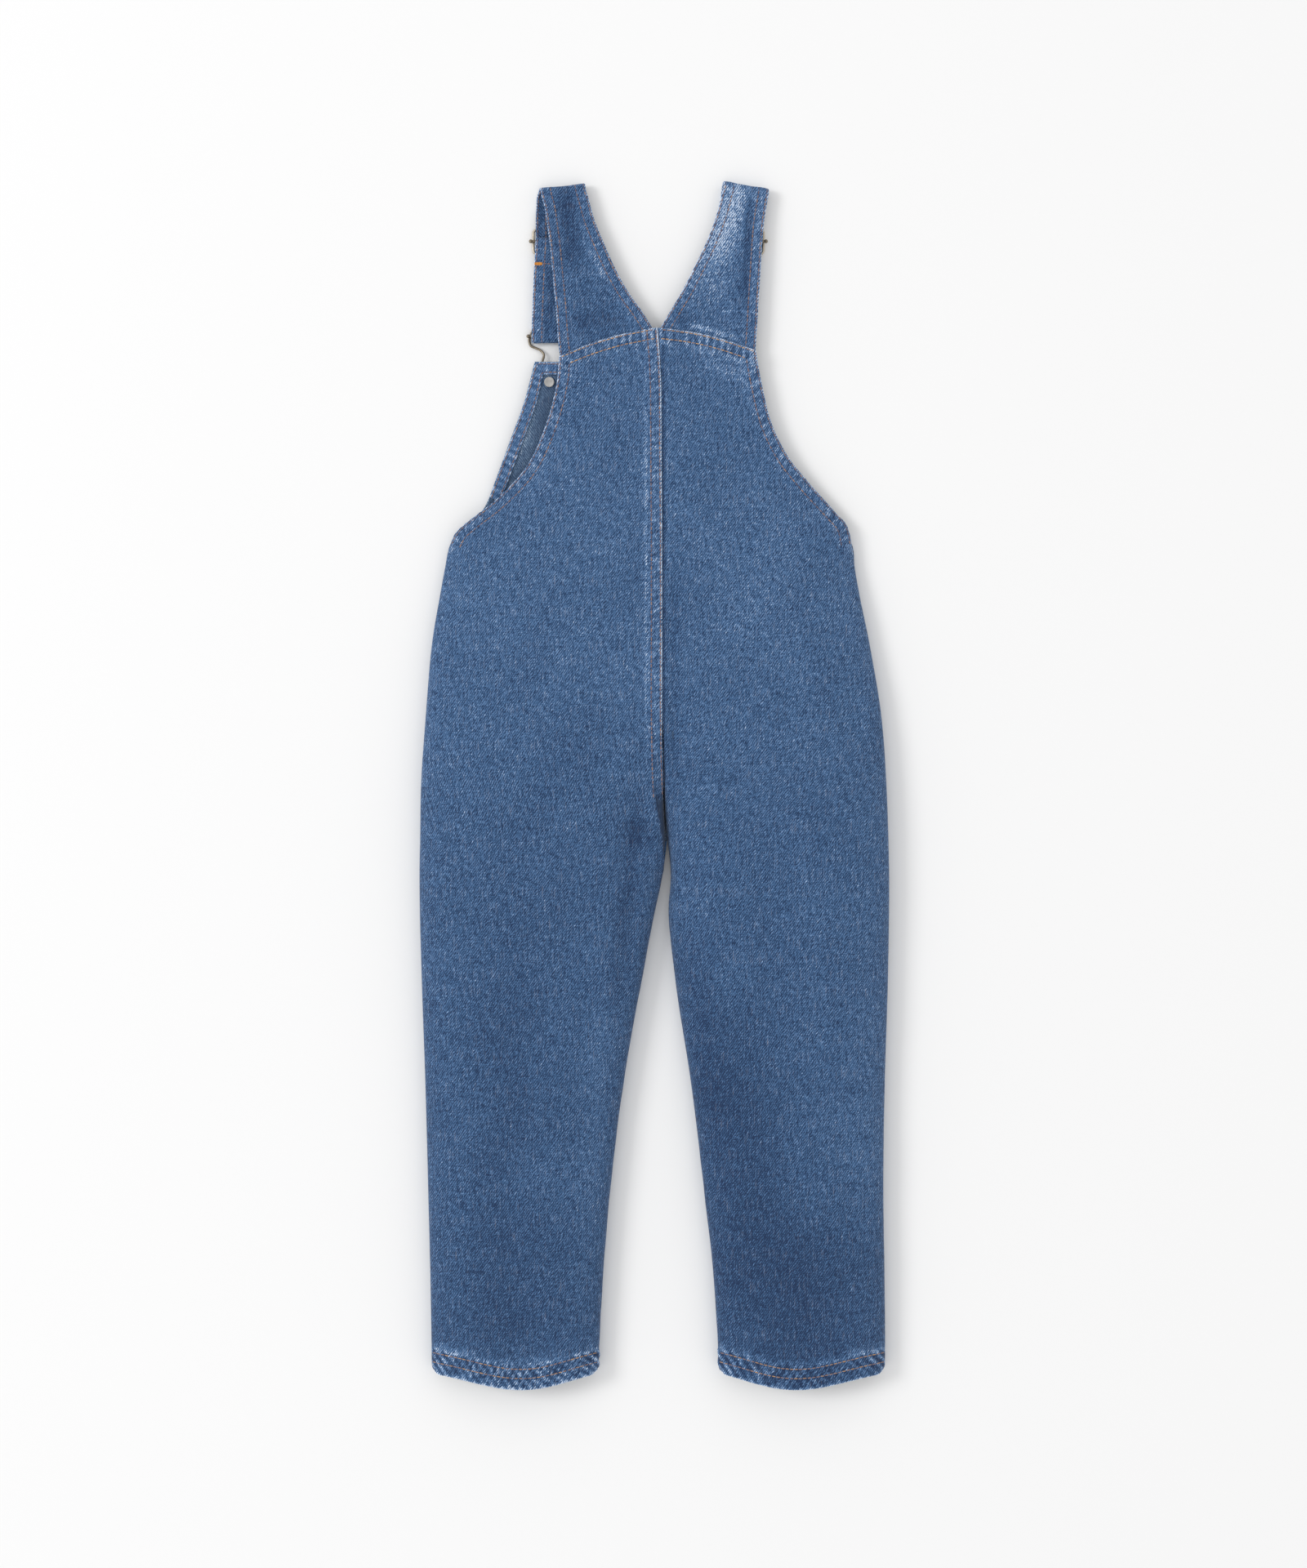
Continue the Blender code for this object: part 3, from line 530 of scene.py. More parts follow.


# %% [markdown]
# Some places are coloured paler and others darker, whatever the folds do. They are listed in the same way: a
# line along each place, how much paler the colour is there, and how wide. A minus means darker. Some of these
# lines are painted light and shade: the shadow beside the centre seam's lapped fold, shade in some fold
# troughs on the back and on the straps, shade on the edge of a strap's lower run, and a paler strip on the
# right leg's outer slope. Each of these is marked where it stands. The others are paler and darker places on
# the cloth.

# %% Pale and dark places
BACK_FADES_LIGHT_AND_SHADE = (
    # x0, y0, x1, y1, amount, width
    (-13.0, 298, -8.5, 282, 0.16, 1.3),
    (-9.6, 296, -5.5, 280, -0.10, 1.6),
    (-5.9, 300, -5.2, 10, 0.24, 1.1),
    # painted shadow beside the lapped fold of the centre seam
    (6.1, 330, 6.3, -60, -0.30, 1.1),
    (9.8, 285, 10.4, 60, 0.05, 1.6),
    # painted shade in the fold's trough to the right of the centre seam
    (13.0, 160, 14.0, -10, -0.09, 4.5),
    # painted shade along the fine fold below the centre seam
    (-9.0, 2, -20.0, -88, -0.14, 4.5),
    (-18.0, -70, -31.0, -165, -0.08, 7),
    (-12, -22, -8, -45, -0.17, 9),
    (-88, -60, -110, -300, -0.06, 24),
    (50, -150, 62, -370, -0.14, 30),
    (24, -110, 44, -250, -0.09, 13),
    # painted light on the right leg's outer slope, which faces away from the lamp
    (149, -30, 149, -330, 0.06, 16),
    (118, -60, 122, -330, 0.03, 30),
    (-30, -100, -46, -330, 0.09, 10),
    (96, -280, 106, -440, -0.16, 50),
    (-104, -280, -98, -388, -0.10, 45),
    (-100, -360, -90, -366, -0.05, 9),
    (30, 285, 66, 272, 0.14, 5),
    (-60, 60, -66, 210, 0.01, 34),
    (70, 60, 62, 200, 0.03, 34),
    (-60, -30, -60, 60, -0.03, 30),
)
STRAP_FADES_AND_SHADE = (
    # x0, y0, x1, y1, amount, width
    # painted shade in the left strap's fold
    (-60, 408, -55.5, 345, -0.22, 8),
    (-49, 372, -31, 337, 0.12, 3.0),
    (-58, 311, -22, 313, -0.12, 7),
    (-45, 345, -35, 310, -0.07, 16),
    (-56, 345, -47, 335, 0.16, 1.2),
    (-38, 350, -41, 318, 0.12, 3.0),
    # painted shade on the lower run's outer edge above the slider, where it lies deep under the upper run
    (-79.5, 396, -78.5, 368, -0.24, 5),
    (-70.5, 352, -71.5, 300, -0.16, 3.0),
    (60, 410, 41, 352, 0.28, 7),
    (54, 415, 38, 320, 0.17, 26),
    (32.5, 360, 12.5, 326, 0.16, 4.0),
    # painted shade in the right strap's fold
    (64.5, 400, 60.5, 322, -0.34, 3.0),
    (52, 366, 55, 322, -0.07, 8),
    (14, 316, 25, 310, -0.18, 3.5),
    (20, 311.5, 58, 299.5, 0.34, 2.0),
    (47, 325, 57.5, 300, 0.18, 1.0),
)


# %% Curves through tables
def smoothstep(low, high, value):
    t = np.clip((value - low) / (high - low), 0, 1)
    return t * t * (3 - 2 * t)


def spline(knots, values, at, corner=None):
    """A smooth cubic through the values at the rising knots, read at each number of at.

    The row with the number corner is a sharp corner, with a slope of its own on each side.
    """
    knots = np.asarray(knots, float)
    values = np.asarray(values, float)
    slopes = np.gradient(values, knots, axis=0)
    leaving, arriving = slopes[:-1].copy(), slopes[1:].copy()
    if corner is not None:
        leaving[corner] = (values[corner + 1] - values[corner]) / (knots[corner + 1] - knots[corner])
        arriving[corner - 1] = (values[corner] - values[corner - 1]) / (knots[corner] - knots[corner - 1])
    at = np.clip(at, knots[0], knots[-1])
    i = np.clip(np.searchsorted(knots, at, side="right") - 1, 0, len(knots) - 2)
    span = knots[i + 1] - knots[i]
    t = (at - knots[i]) / span
    if values.ndim == 2:
        t, span = t[..., None], span[..., None]
    low, high = values[i], values[i + 1]
    rise_low, rise_high = leaving[i] * span, arriving[i] * span
    return (
        low * (1 + 2 * t) * (1 - t) ** 2
        + rise_low * t * (1 - t) ** 2
        + high * t**2 * (3 - 2 * t)
        + rise_high * t**2 * (t - 1)
    )


def height(table, y):
    """The second column of a table, read at the first."""
    rows = np.array(table, float)
    return spline(rows[:, 0], rows[:, 1], y)


def reached(path):
    """How far along a path each of its points lies."""
    return np.concatenate([[0], np.cumsum(np.linalg.norm(np.diff(path, axis=0), axis=1))])


def read_along(path, knots, at):
    """Points on a path at the distances given, where knots says how far along each known point lies."""
    return np.stack([np.interp(at, knots, column) for column in path.T], axis=1)


def square_to(path):
    """The direction square to a path in plan, at each of its points."""
    along = np.gradient(path, axis=0)
    across = np.stack([-along[:, 1], along[:, 0]], axis=1)
    return across / np.linalg.norm(across, axis=1, keepdims=True)


def row_knots(table):
    """How far each row of a panel or strap lies along its inner edge."""
    return reached(np.array(table, float)[:, 2:])


def row_at(table, along):
    """Outer x, outer y, inner x and inner y at each along, from 0 at the first row to 1 at the last."""
    knots = row_knots(table)
    corner = LEG_ROWS - 1 if len(table) > 2 * LEG_ROWS else None
    return spline(knots / knots[-1], table, along, corner)


def fold_depth(folds, x, y):
    """The sum of all the listed folds, or of all the pale and dark places with their painted light and shade,
    at each point.
    """
    total = np.zeros_like(x)
    for x0, y0, x1, y1, depth, width in folds:
        length = math.hypot(x1 - x0, y1 - y0)
        along = ((x - x0) * (x1 - x0) + (y - y0) * (y1 - y0)) / length**2
        across = ((x - x0) * (y1 - y0) - (y - y0) * (x1 - x0)) / length
        fade = smoothstep(-0.15, 0.3, along) * (1 - smoothstep(0.7, 1.15, along))
        total += depth * fade * np.exp(-((across / width) ** 2))
    return total


# %% [markdown]
# ## The form of each panel
#
# The back stands on the front like a low tunnel. Over each leg it is a flattened arch between the side seam
# and the inseam, and above the crotch the two arches join into one. The front lies flat on the floor, rolls
# up to meet the back at the seams, and its bib is propped up by the buttons underneath it.


# %% The back's outer face
EDGE_CALM = 14  # creases fade out this close to a panel's edge
OPEN_FADE = 30  # above the underarm, how far up the side seam's form takes to become the armhole's


def back_point(table, share, along, lapped):
    """A point on the back's outer face: share runs from the side edge, 0, to the centre edge, 1."""
    row = row_at(table, along)
    x = row[..., 0] + (row[..., 2] - row[..., 0]) * share
    y = row[..., 1] + (row[..., 3] - row[..., 1]) * share
    side_y = row[..., 1]
    width = np.abs(row[..., 2] - row[..., 0])
    from_side, from_centre = share * width, (1 - share) * width
    from_yoke = (1 - along) * BACK_LENGTH
    hem_bow = np.clip(np.sin(math.pi * share**1.12), 0, 1) ** 1.5 * (1 - smoothstep(0, 0.05, along))
    yoke_bow = np.sin(math.pi * share) * smoothstep(0.93, 1, along)
    y = y - HEM_BOW * hem_bow + YOKE_BOW * yoke_bow

    above_crotch = smoothstep(CROTCH_Y, 48, y)
    open_edge = smoothstep(UNDERARM_Y, UNDERARM_Y + OPEN_FADE, side_y)
    seam_z = height(SIDE_SEAM, side_y) + SEAM_GAP / 2
    side_z = np.where(side_y <= UNDERARM_Y, seam_z, height(ARMHOLE_EDGE, side_y))
    inner_z = height(INSEAM, y) + SEAM_GAP / 2
    leg_top, body_top = height(LEG_TOP, y), height(BODY_TOP, y)

    across = 2 * share - 1
    leg_round = np.sqrt(np.clip(1 - np.abs(across) ** 3, 0, 1))
    leg_end = np.where(across < 0, side_z, inner_z)
    leg = leg_end + (leg_top - leg_end) * leg_round
    body_round = np.clip(1 - (1 - share) ** (4 - 2 * open_edge), 0, 1) ** (0.5 + 0.5 * open_edge)
    body = side_z + (body_top - side_z) * body_round
    z = leg + (body - leg) * above_crotch

    inner_fade = 1 - (1 - smoothstep(0, EDGE_CALM, from_centre)) * (1 - above_crotch)
    z = z - fold_depth(CREASES, x, y) * smoothstep(0, EDGE_CALM, from_side) * inner_fade
    if lapped:
        lap = 1 - smoothstep(LAP_WIDTH, LAP_WIDTH + LAP_RAMP, from_centre)
        z = z + LAP_RISE * lap * smoothstep(-30, 20, y)
    z = z + LAP_RISE * (1 - smoothstep(LAP_WIDTH, LAP_WIDTH + LAP_RAMP, from_yoke))
    return np.stack([x, y, z], axis=-1)


# %% The front's outer face
BIB_ROLL_FADE = 26  # above the underarm, how far up the front's rolled side takes to lie flat


def bib_lift(y):
    """How far the buttons prop the bib up from the floor."""
    return BIB_LIFT * smoothstep(110, 265, y)


def front_point(table, share, along):
    """A point on the front's outer face, which lies on the surface and rolls up at the seams."""
    row = row_at(table, along)
    x = row[..., 0] + (row[..., 2] - row[..., 0]) * share
    y = row[..., 1] + (row[..., 3] - row[..., 1]) * share
    side_y = row[..., 1]
    width = np.abs(row[..., 2] - row[..., 0])
    lift = bib_lift(y)
    seam_z = height(SIDE_SEAM, side_y) - SEAM_GAP / 2 - lift
    side_z = seam_z * (1 - smoothstep(UNDERARM_Y, UNDERARM_Y + BIB_ROLL_FADE, side_y))
    inner_z = (height(INSEAM, y) - SEAM_GAP / 2) * (1 - smoothstep(CROTCH_Y, 0, y))
    rolls = np.zeros_like(x)
    for distance, rise in ((share * width, side_z), ((1 - share) * width, inner_z)):
        radius = 1.25 * rise + 0.01
        reach = np.clip(1 - distance / radius, 0, 1)
        rolls += rise * (1 - np.sqrt(1 - reach**2))
    return np.stack([x, y, lift + rolls], axis=-1)


# %% [markdown]
# ## From a form to cloth
#
# A grid of points gives each piece's form. Three things then make cloth of it. The distance from every point
# to each sewn edge says where the cloth is turned under and thicker, where the needle pulls it down, and
# where it ripples. The edges are rounded over, because a fold is round. And the same distances say how much
# dye has worn away: most on the very edge and on the crests of the ripples. They also give painted light and
# shade: the crests are paler and the troughs darker partly as painted light and shade, and the dents that the
# stitches pull are darkened with painted shade.


# %% Distances and noise
def nearest(points, path):
    """For each point, how far the path is, and how far along the path the nearest place lies."""
    flat = points.reshape(-1, 3)
    best = np.full(len(flat), 1e9)
    where = np.zeros(len(flat))
    passed = 0.0
    for start, end in zip(path[:-1], path[1:]):
        step = end - start
        length = np.linalg.norm(step)
        if length < 1e-6:
            continue
        t = np.clip((flat - start) @ step / length**2, 0, 1)
        gap = np.linalg.norm(flat - start - t[:, None] * step, axis=1)
        closer = gap < best
        best[closer] = gap[closer]
        where[closer] = passed + t[closer] * length
        passed += length
    return best.reshape(points.shape[:-1]), where.reshape(points.shape[:-1])


def thinned(path, spacing):
    """The same path with a point every so often, for quick distances."""
    knots = reached(path)
    return read_along(path, knots, np.linspace(0, knots[-1], max(2, int(knots[-1] / spacing) + 1)))


def soft_noise(x, y, size, seed):
    """Smooth noise from -1 to 1 with bumps about size across."""
    rng = np.random.default_rng(seed)
    lattice = rng.uniform(-1, 1, (96, 96))
    x, y = x / size + 48.5, y / size + 48.5
    i, j = np.floor(x).astype(int), np.floor(y).astype(int)
    fx, fy = smoothstep(0, 1, x - i), smoothstep(0, 1, y - j)

    def at(a, b):
        return lattice[a % 96, b % 96]

    low = at(i, j) * (1 - fx) + at(i + 1, j) * fx
    high = at(i, j + 1) * (1 - fx) + at(i + 1, j + 1) * fx
    return low * (1 - fy) + high * fy


def ripple(along, pitch, seed):
    """An uneven wave along a seam, from -1 to 1, whose crests come about a pitch apart."""
    slow = soft_noise(along, np.zeros_like(along), pitch * 2.6, seed)
    swell = soft_noise(along, np.ones_like(along) * 40, pitch * 3.1, seed + 1)
    wave = np.sin(2 * math.pi * (along / pitch + 0.45 * slow))
    return wave * (0.62 + 0.38 * swell)


# %% [markdown]
# ### Turned and stitched edges
#
# Every open edge is turned under and held by two rows of stitching six millimetres apart. Between the rows
# the cloth is doubled and puckered. The same few numbers describe all of them: where the rows run, how wide
# and thick the turned band is, and how strongly it ripples.

# %% What a sewn edge does to the cloth
EDGE_ROW = 1.25  # from the edge to the first row of stitches
TWIN_GAP = 6.0
BAND = 8.3
RIDGE_SHARPNESS = 2.2  # the higher, the squarer the ripples
DENT = 0.62  # half width of the dent that a row of stitches pulls in the cloth


class Edge:
    """A sewn edge: its path, its rows of stitching and how the cloth behaves along it."""

    def __init__(self, path, seed, rows=(EDGE_ROW, EDGE_ROW + TWIN_GAP), band=BAND, raised=0.35, pucker=0.28,
                 pitch=5.6, slow=0.12, skew=0.35, worn=0.42, rounded=0.95, scuff=0.1):
        self.path = thinned(path, 4.0)
        self.seed = seed
        self.rows = rows
        self.band = band
        self.raised = raised  # how far the turned band stands up
        self.pucker = pucker  # height of the quick ripples
        self.pitch = pitch
        self.slow = slow  # height of the slow ripples
        self.skew = skew  # how far the ripples lean
        # worn also sets how much paler the crests and darker the troughs are, partly as painted light and
        # shade
        self.worn = worn  # how pale the fold is
        self.rounded = rounded
        self.scuff = scuff  # how pale the cloth is just past the band


def round_off(gap, radius):
    """How far a rounded edge has fallen away at each distance from it."""
    inside = np.clip(radius - gap, 0, None)
    return radius - np.sqrt(np.clip(radius**2 - inside**2, 0, None))


def sewn(points, edge):
    """Relief, wear with painted light and shade, and rounding that one sewn edge gives to each point."""
    gap, along = nearest(points, edge.path)
    near = gap < 30
    turned = 1 - smoothstep(edge.band - 0.6, edge.band + 1.2, gap)
    middle = (edge.rows[0] + edge.rows[-1]) / 2 if edge.rows else edge.band / 2
    inwards = 1 - smoothstep(middle, edge.band + 6, gap)
    spread = np.where(gap < middle, 0.55 + 0.45 * smoothstep(0, middle, gap), inwards)
    quick = np.tanh(RIDGE_SHARPNESS * ripple(along + edge.skew * gap, edge.pitch, edge.seed))
    slow = ripple(along - edge.skew * gap, edge.pitch * 2.7, edge.seed + 5)
    waves = (edge.pucker * quick + edge.slow * slow) * spread
    pulled = np.zeros_like(gap)
    for row in edge.rows:
        pulled += np.exp(-(((gap - row) / DENT) ** 2))
    relief = edge.raised * turned + waves - 0.2 * pulled
    rub = soft_noise(along, gap * 3, 9, edge.seed + 9)
    fold = np.exp(-((gap / 1.1) ** 2)) * (0.85 + 0.35 * rub)
    crest = np.clip(waves / 0.26, -1.3, 1.3)
    # pale wear on the fold, and on the band the crests paler and the troughs darker, partly wear and partly
    # painted light and shade
    wear = edge.worn * fold + (edge.worn * 0.38 * crest + 0.06) * turned
    # painted shade in the dents that the rows of stitches pull
    wear = wear - 0.12 * pulled * (gap < edge.band + 2)
    past = np.clip(gap - edge.rows[-1] - 0.9, 0, None) if edge.rows else gap
    reach = 3.4 + 1.8 * soft_noise(along, gap * 0.4, 6, edge.seed + 11)
    beyond = np.exp(-((past / reach) ** 2)) * (gap > middle) * (1 - np.exp(-((past / 0.5) ** 2)))
    patchy = 0.75 + 0.5 * soft_noise(along, gap * 0, 5, edge.seed + 12) + 0.25 * crest
    # pale scuff just past the band, and beyond it the crests paler and the troughs darker, partly painted
    # light and shade
    wear = wear + edge.scuff * np.clip(patchy, 0, None) * beyond + edge.worn * 0.16 * crest * (1 - turned)
    return relief * near, wear * near, round_off(gap, edge.rounded)


def sewn_round(points, edges):
    """Relief, wear and painted light and shade of all edges together, and the nearest edge's rounding."""
    relief, wear, rounding = (np.zeros(points.shape[:2]) for _ in range(3))
    for edge in edges:
        more, worn_lit_and_shaded, rounded = sewn(points, edge)
        relief += more
        wear += worn_lit_and_shaded
        rounding = np.maximum(rounding, rounded)
    return relief, wear, rounding


# %% Building the mesh of a piece of cloth
def grid_normals(points, up):
    """The direction out of a grid's face at each point, towards up, which is 1 or -1."""
    across = np.gradient(points, axis=1)
    along = np.gradient(points, axis=0)
    normal = np.cross(across, along)
    normal /= np.maximum(np.linalg.norm(normal, axis=-1, keepdims=True), 1e-9)
    return normal * np.sign(normal[..., 2].sum()) * up


def cloth_place(points, up):
    """The cloth's own millimetres: unrolled sideways from the centre edge, and straight along the garment."""
    steps = np.hypot(np.diff(points[..., 0], axis=1), np.diff(points[..., 2], axis=1))
    across = np.concatenate([np.zeros((len(points), 1)), np.cumsum(steps, axis=1)], axis=1)
    direction = np.sign(points[0, -1, 0] - points[0, 0, 0])
    across = points[:, -1:, 0] + (across - across[:, -1:]) * direction
    return across * up, points[..., 1]


def to_metres(points):
    return (points + (0, CENTRE_SHIFT, 0)) * MM


def add_piece(name, mesh, slot, *finishes):
    """Put a mesh or curve in the scene, on the garment's one body, with its finishes. The slot is not used.
    """
    made = bpy.data.objects.new(name, mesh)
    for finish in finishes:
        mesh.materials.append(finish)
    bpy.context.scene.collection.objects.link(made)
    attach(made, "root")
    return made


def store(mesh, name, kind, values):
    """Keep a value for every point on the mesh, where its finish can read it."""
    layer = mesh.attributes.new(name, kind, "POINT")
    field = "vector" if kind == "FLOAT_VECTOR" else "value"
    layer.data.foreach_set(field, np.ascontiguousarray(values, "f").ravel())


def triangles(mesh):
    return sum(len(face.vertices) - 2 for face in mesh.polygons)


def grid_quads(rows, columns):
    """The four corners of every face of a grid."""
    index = np.arange(rows * columns).reshape(rows, columns)
    return np.stack([index[:-1, :-1], index[:-1, 1:], index[1:, 1:], index[1:, :-1]], axis=-1).reshape(-1, 4)


def cloth_mesh(name, outer, inner, place, wear, up, two_sided=False):
    """A closed thin shell of two grids, with its place in the cloth, and its wear with painted light and
    shade at every point.
    """
    rows, columns = outer.shape[:2]
    count = rows * columns
    index = np.arange(count).reshape(rows, columns)
    quads = grid_quads(rows, columns)
    rim = np.concatenate([index[0, :-1], index[:-1, -1], index[-1, :0:-1], index[:0:-1, 0]])
    ahead = np.roll(rim, -1)
    band = np.stack([ahead, rim, rim + count, ahead + count], axis=1)
    faces = np.concatenate([quads, quads[:, ::-1] + count, band])
    upwards = np.cross(np.gradient(outer, axis=1), np.gradient(outer, axis=0))[..., 2].sum()
    if np.sign(upwards) != up:
        faces = faces[:, ::-1]
    mesh = bpy.data.meshes.new(name)
    points = to_metres(np.concatenate([outer.reshape(-1, 3), inner.reshape(-1, 3)]))
    mesh.from_pydata(points.tolist(), [], faces.tolist())
    mesh.shade_smooth()
    flat_place = np.concatenate([np.stack([*place, np.zeros_like(place[0])], axis=-1).reshape(-1, 3)] * 2)
    store(mesh, "cloth", "FLOAT_VECTOR", flat_place)
    store(mesh, "wear", "FLOAT", np.concatenate([wear.ravel(), wear.ravel()]))
    if two_sided:
        sides = np.zeros(len(faces), dtype=np.int32)
        sides[len(quads) : 2 * len(quads)] = 1
        mesh.polygons.foreach_set("material_index", sides)
    return mesh


# %% [markdown]
# ### The back
#
# Each half of the back is one long panel. Its points are closest together near the edges, where the rounding
# and the ripples are, and further apart over the plain middle. The left half laps over the right one along
# the centre seam, so its fold is the pale ridge, and the right half simply runs up to it.

# %% Columns and rows of a panel
NEAR_EDGE = (
    # millimetres from the edge to each of the close columns
    (0, 0.04, 0.14, 0.3, 0.5, 0.75, 1.05, 1.4, 1.8, 2.4, 3.1)
    + (3.9, 4.7, 5.5, 6.3, 7.1, 7.9, 8.8, 9.8, 11, 12.6)
)
NEAR_END = (0, 0.1, 0.3, 0.55, 0.85, 1.2)  # millimetres from the end to each of the close rows


def shares_across(width, near_edge, between):
    """Shares of the width from 0 to 1, close together at both edges, with some between."""
    near = np.array(near_edge)[None, :]
    far = near[:, -1:] / width
    middle = far + (1 - 2 * far) * np.linspace(0, 1, between + 2)[None, 1:-1]
    return np.concatenate([near / width, middle, 1 - near[:, ::-1] / width], axis=1)


def columns_across(table, along, between):
    """The same for every row of a panel."""
    row = row_at(table, along)
    return shares_across(np.abs(row[:, 2] - row[:, 0])[:, None], NEAR_EDGE, between)


def rows_along(length, spacing):
    """Shares of the length from 0 to 1, close together at both ends."""
    ends = np.array(NEAR_END)
    middle = np.linspace(ends[-1] + spacing, length - ends[-1] - spacing, int(length / spacing))
    return np.concatenate([ends, middle, length - ends[::-1]]) / length


# %% [markdown]
# At the crotch the seat's slack is pushed over the end of the centre seam, so the left leg's cloth swells and
# hides it. The other folds fade out on both sides, but this one ends in a sharp edge with the seam deep
# beside it, so it has a short table of its own for that edge.

# %% Where the left leg bulges over the centre seam
BULGE_RISE = 1.5
SEAM_DEPTH = 1.6
LEG_BULGE = (
    # y, x of its edge
    (-56, 6.4),
    (-49, 6.2),
    (-33, 4.6),
    (-22, 3.0),
    (-10.5, 0.9),
    (0, -0.6),
)


def bulge(x, y):
    """How much the bulge lifts the left leg's cloth, and how deep the seam lies beyond its edge."""
    past = x - height(LEG_BULGE, y)
    there = smoothstep(-62, -48, y) * (1 - smoothstep(-12, 2, y))
    beyond_edge = smoothstep(-0.5, 0.6, past)
    lifted = BULGE_RISE * np.exp(-((np.minimum(past + 1.5, 0) / 6) ** 2)) * (1 - beyond_edge)
    return lifted * there, SEAM_DEPTH * beyond_edge * there


# %% [markdown]
# A hem has four thicknesses of denim at each side seam, and they are too stiff to fold to a square corner.
# A bevel would break up the even grid that the ripples need, so the grid's points keep their order and those
# near a corner are pulled in to a quarter of a circle.

# %% Round corners at a hem
HEM_CORNER = 6.0


def corners_rounded(points, form):
    """The points with both square corners of the hem pulled in to a round."""
    moved = points.copy()
    for column, inwards in ((0, form[0, -1, 0] - form[0, 0, 0]), (-1, form[0, 0, 0] - form[0, -1, 0])):
        from_side = np.abs(form[..., 0] - form[:, [column], 0])
        from_hem = form[..., 1] - form[[0], :, 1]
        across = np.clip(1 - from_side / HEM_CORNER, 0, 1)
        down = np.clip(1 - from_hem / HEM_CORNER, 0, 1)
        kept_share = np.maximum(across, down) / np.maximum(np.hypot(across, down), 1e-6)
        kept_share = np.where(across * down > 0, kept_share, 1)
        moved[..., 0] += np.sign(inwards) * HEM_CORNER * across * (1 - kept_share)
        moved[..., 1] += HEM_CORNER * down * (1 - kept_share)
    return moved


# %% [markdown]
# A hem is turned twice, so it is thicker than the other edges, and its ripples lean, because the upper layer
# is dragged along as it is sewn. The yoke and the centre seam are flatter. The legs are coloured a little
# darker than the seat and the back.

# %% The left and right back
BACK_SPACING = 1.45
BACK_BETWEEN = 36  # columns over the plain middle
LEGS_DARKER = 0.075
HEM_ROWS = (8.0, 14.3)
HEM_BAND = 15.6
HEM_PITCH = 6.6
HEM_SLANT = 0.9  # how far the hem's ripples lean
BACK_HEM = {"raised": 0.45, "pucker": 0.45, "slow": 0.15, "worn": 0.82, "rounded": 1.1, "scuff": 0.42}
YOKE_SEAM = {"pucker": 0.26, "pitch": 5.4, "skew": 0.15, "worn": 0.5}
CENTRE_SEAM = {"raised": 0.1, "pucker": 0.09, "slow": 0.08, "worn": 0.85, "rounded": 0.9, "scuff": 0.0}


def back_cloth(name, table, lapped, seed, yoke_scuff):
    """Half of the back. The lapped half lies over the other one along the centre seam."""
    length = row_knots(table)[-1]
    along = rows_along(length, BACK_SPACING)
    share = columns_across(table, along, BACK_BETWEEN)
    along = np.broadcast_to(along[:, None], share.shape)
    form = back_point(table, share, along, lapped)
    normal = grid_normals(form, 1)
    side = form[:, 0]
    armhole = side[side[:, 1] >= UNDERARM_Y - 1]
    seam = form[:, -1][form[:, -1, 1] > CROTCH_Y]
    slant = HEM_SLANT if lapped else -HEM_SLANT
    edges = {
        "hem": Edge(form[0], seed, HEM_ROWS, HEM_BAND, pitch=HEM_PITCH, skew=slant, **BACK_HEM),
        "armhole": Edge(armhole, seed + 20, scuff=0.06),
        "yoke": Edge(form[-1], seed + 40, scuff=yoke_scuff, **YOKE_SEAM),
    }
    if lapped:
        edges["centre"] = Edge(seam, seed + 60, **CENTRE_SEAM)
    relief, wear, rounding = sewn_round(form, edges.values())
    x, y = form[..., 0], form[..., 1]
    relief += 0.38 * soft_noise(x, y, 34, seed + 80) + 0.16 * soft_noise(x, y, 13, seed + 81)
    # pale and dark places, some of them painted light and shade as marked in their table, and the legs
    # coloured a little darker
    wear += fold_depth(BACK_FADES_LIGHT_AND_SHADE, x, y) - LEGS_DARKER * (1 - smoothstep(-150, 120, y))
    from_side, _ = nearest(form, thinned(side[side[:, 1] < UNDERARM_Y], 8))
    relief *= smoothstep(0, 5, from_side) * 0.9 + 0.1
    relief -= fold_depth(FINE_FOLDS, x, y)
    if lapped:
        lifted, sunk = bulge(x, y)
        relief += lifted - sunk
        # painted shade in the hollow where the seam lies beside the bulge
        wear -= 0.12 * sunk
    outer = form + normal * (relief - rounding)[..., None]
    thick = CLOTH + 0.35 * np.clip(relief, 0, 1)
    inner = form - normal * (thick - np.minimum(rounding, thick / 2))[..., None]
    outer, inner = corners_rounded(outer, form), corners_rounded(inner, form)
    mesh = cloth_mesh(name, outer, inner, cloth_place(form, 1), wear, 1, two_sided=True)
    print(name, "triangles:", triangles(mesh))
    return add_piece(name, mesh, "denim", denim_right, denim_wrong), edges, outer


back_left, left_edges, left_face = back_cloth("back_left_cloth", BACK_LEFT, True, 100, 0.12)
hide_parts("back_left_leg", "back_left_body")
back_right, right_edges, right_face = back_cloth("back_right_cloth", BACK_RIGHT, False, 300, 0.24)
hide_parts("back_right_leg", "back_right_body")


# %% [markdown]
# ### The front
#
# Only a strip of the bib shows from above, but the part is looked at from every side, so the front is a whole
# shell as well. Its outer face rests on the floor and stays flat there. The rippling at the hems and round
# the bib goes on the upper face.

# %% The left and right front
FRONT_SPACING = 2.3
FRONT_BETWEEN = 22
FRONT_HEM = {"raised": 0.2, "pucker": 0.2, "slow": 0.1, "skew": 0.8, "worn": 0.3, "rounded": 0.6}
BIB_ROUNDED = 0.6
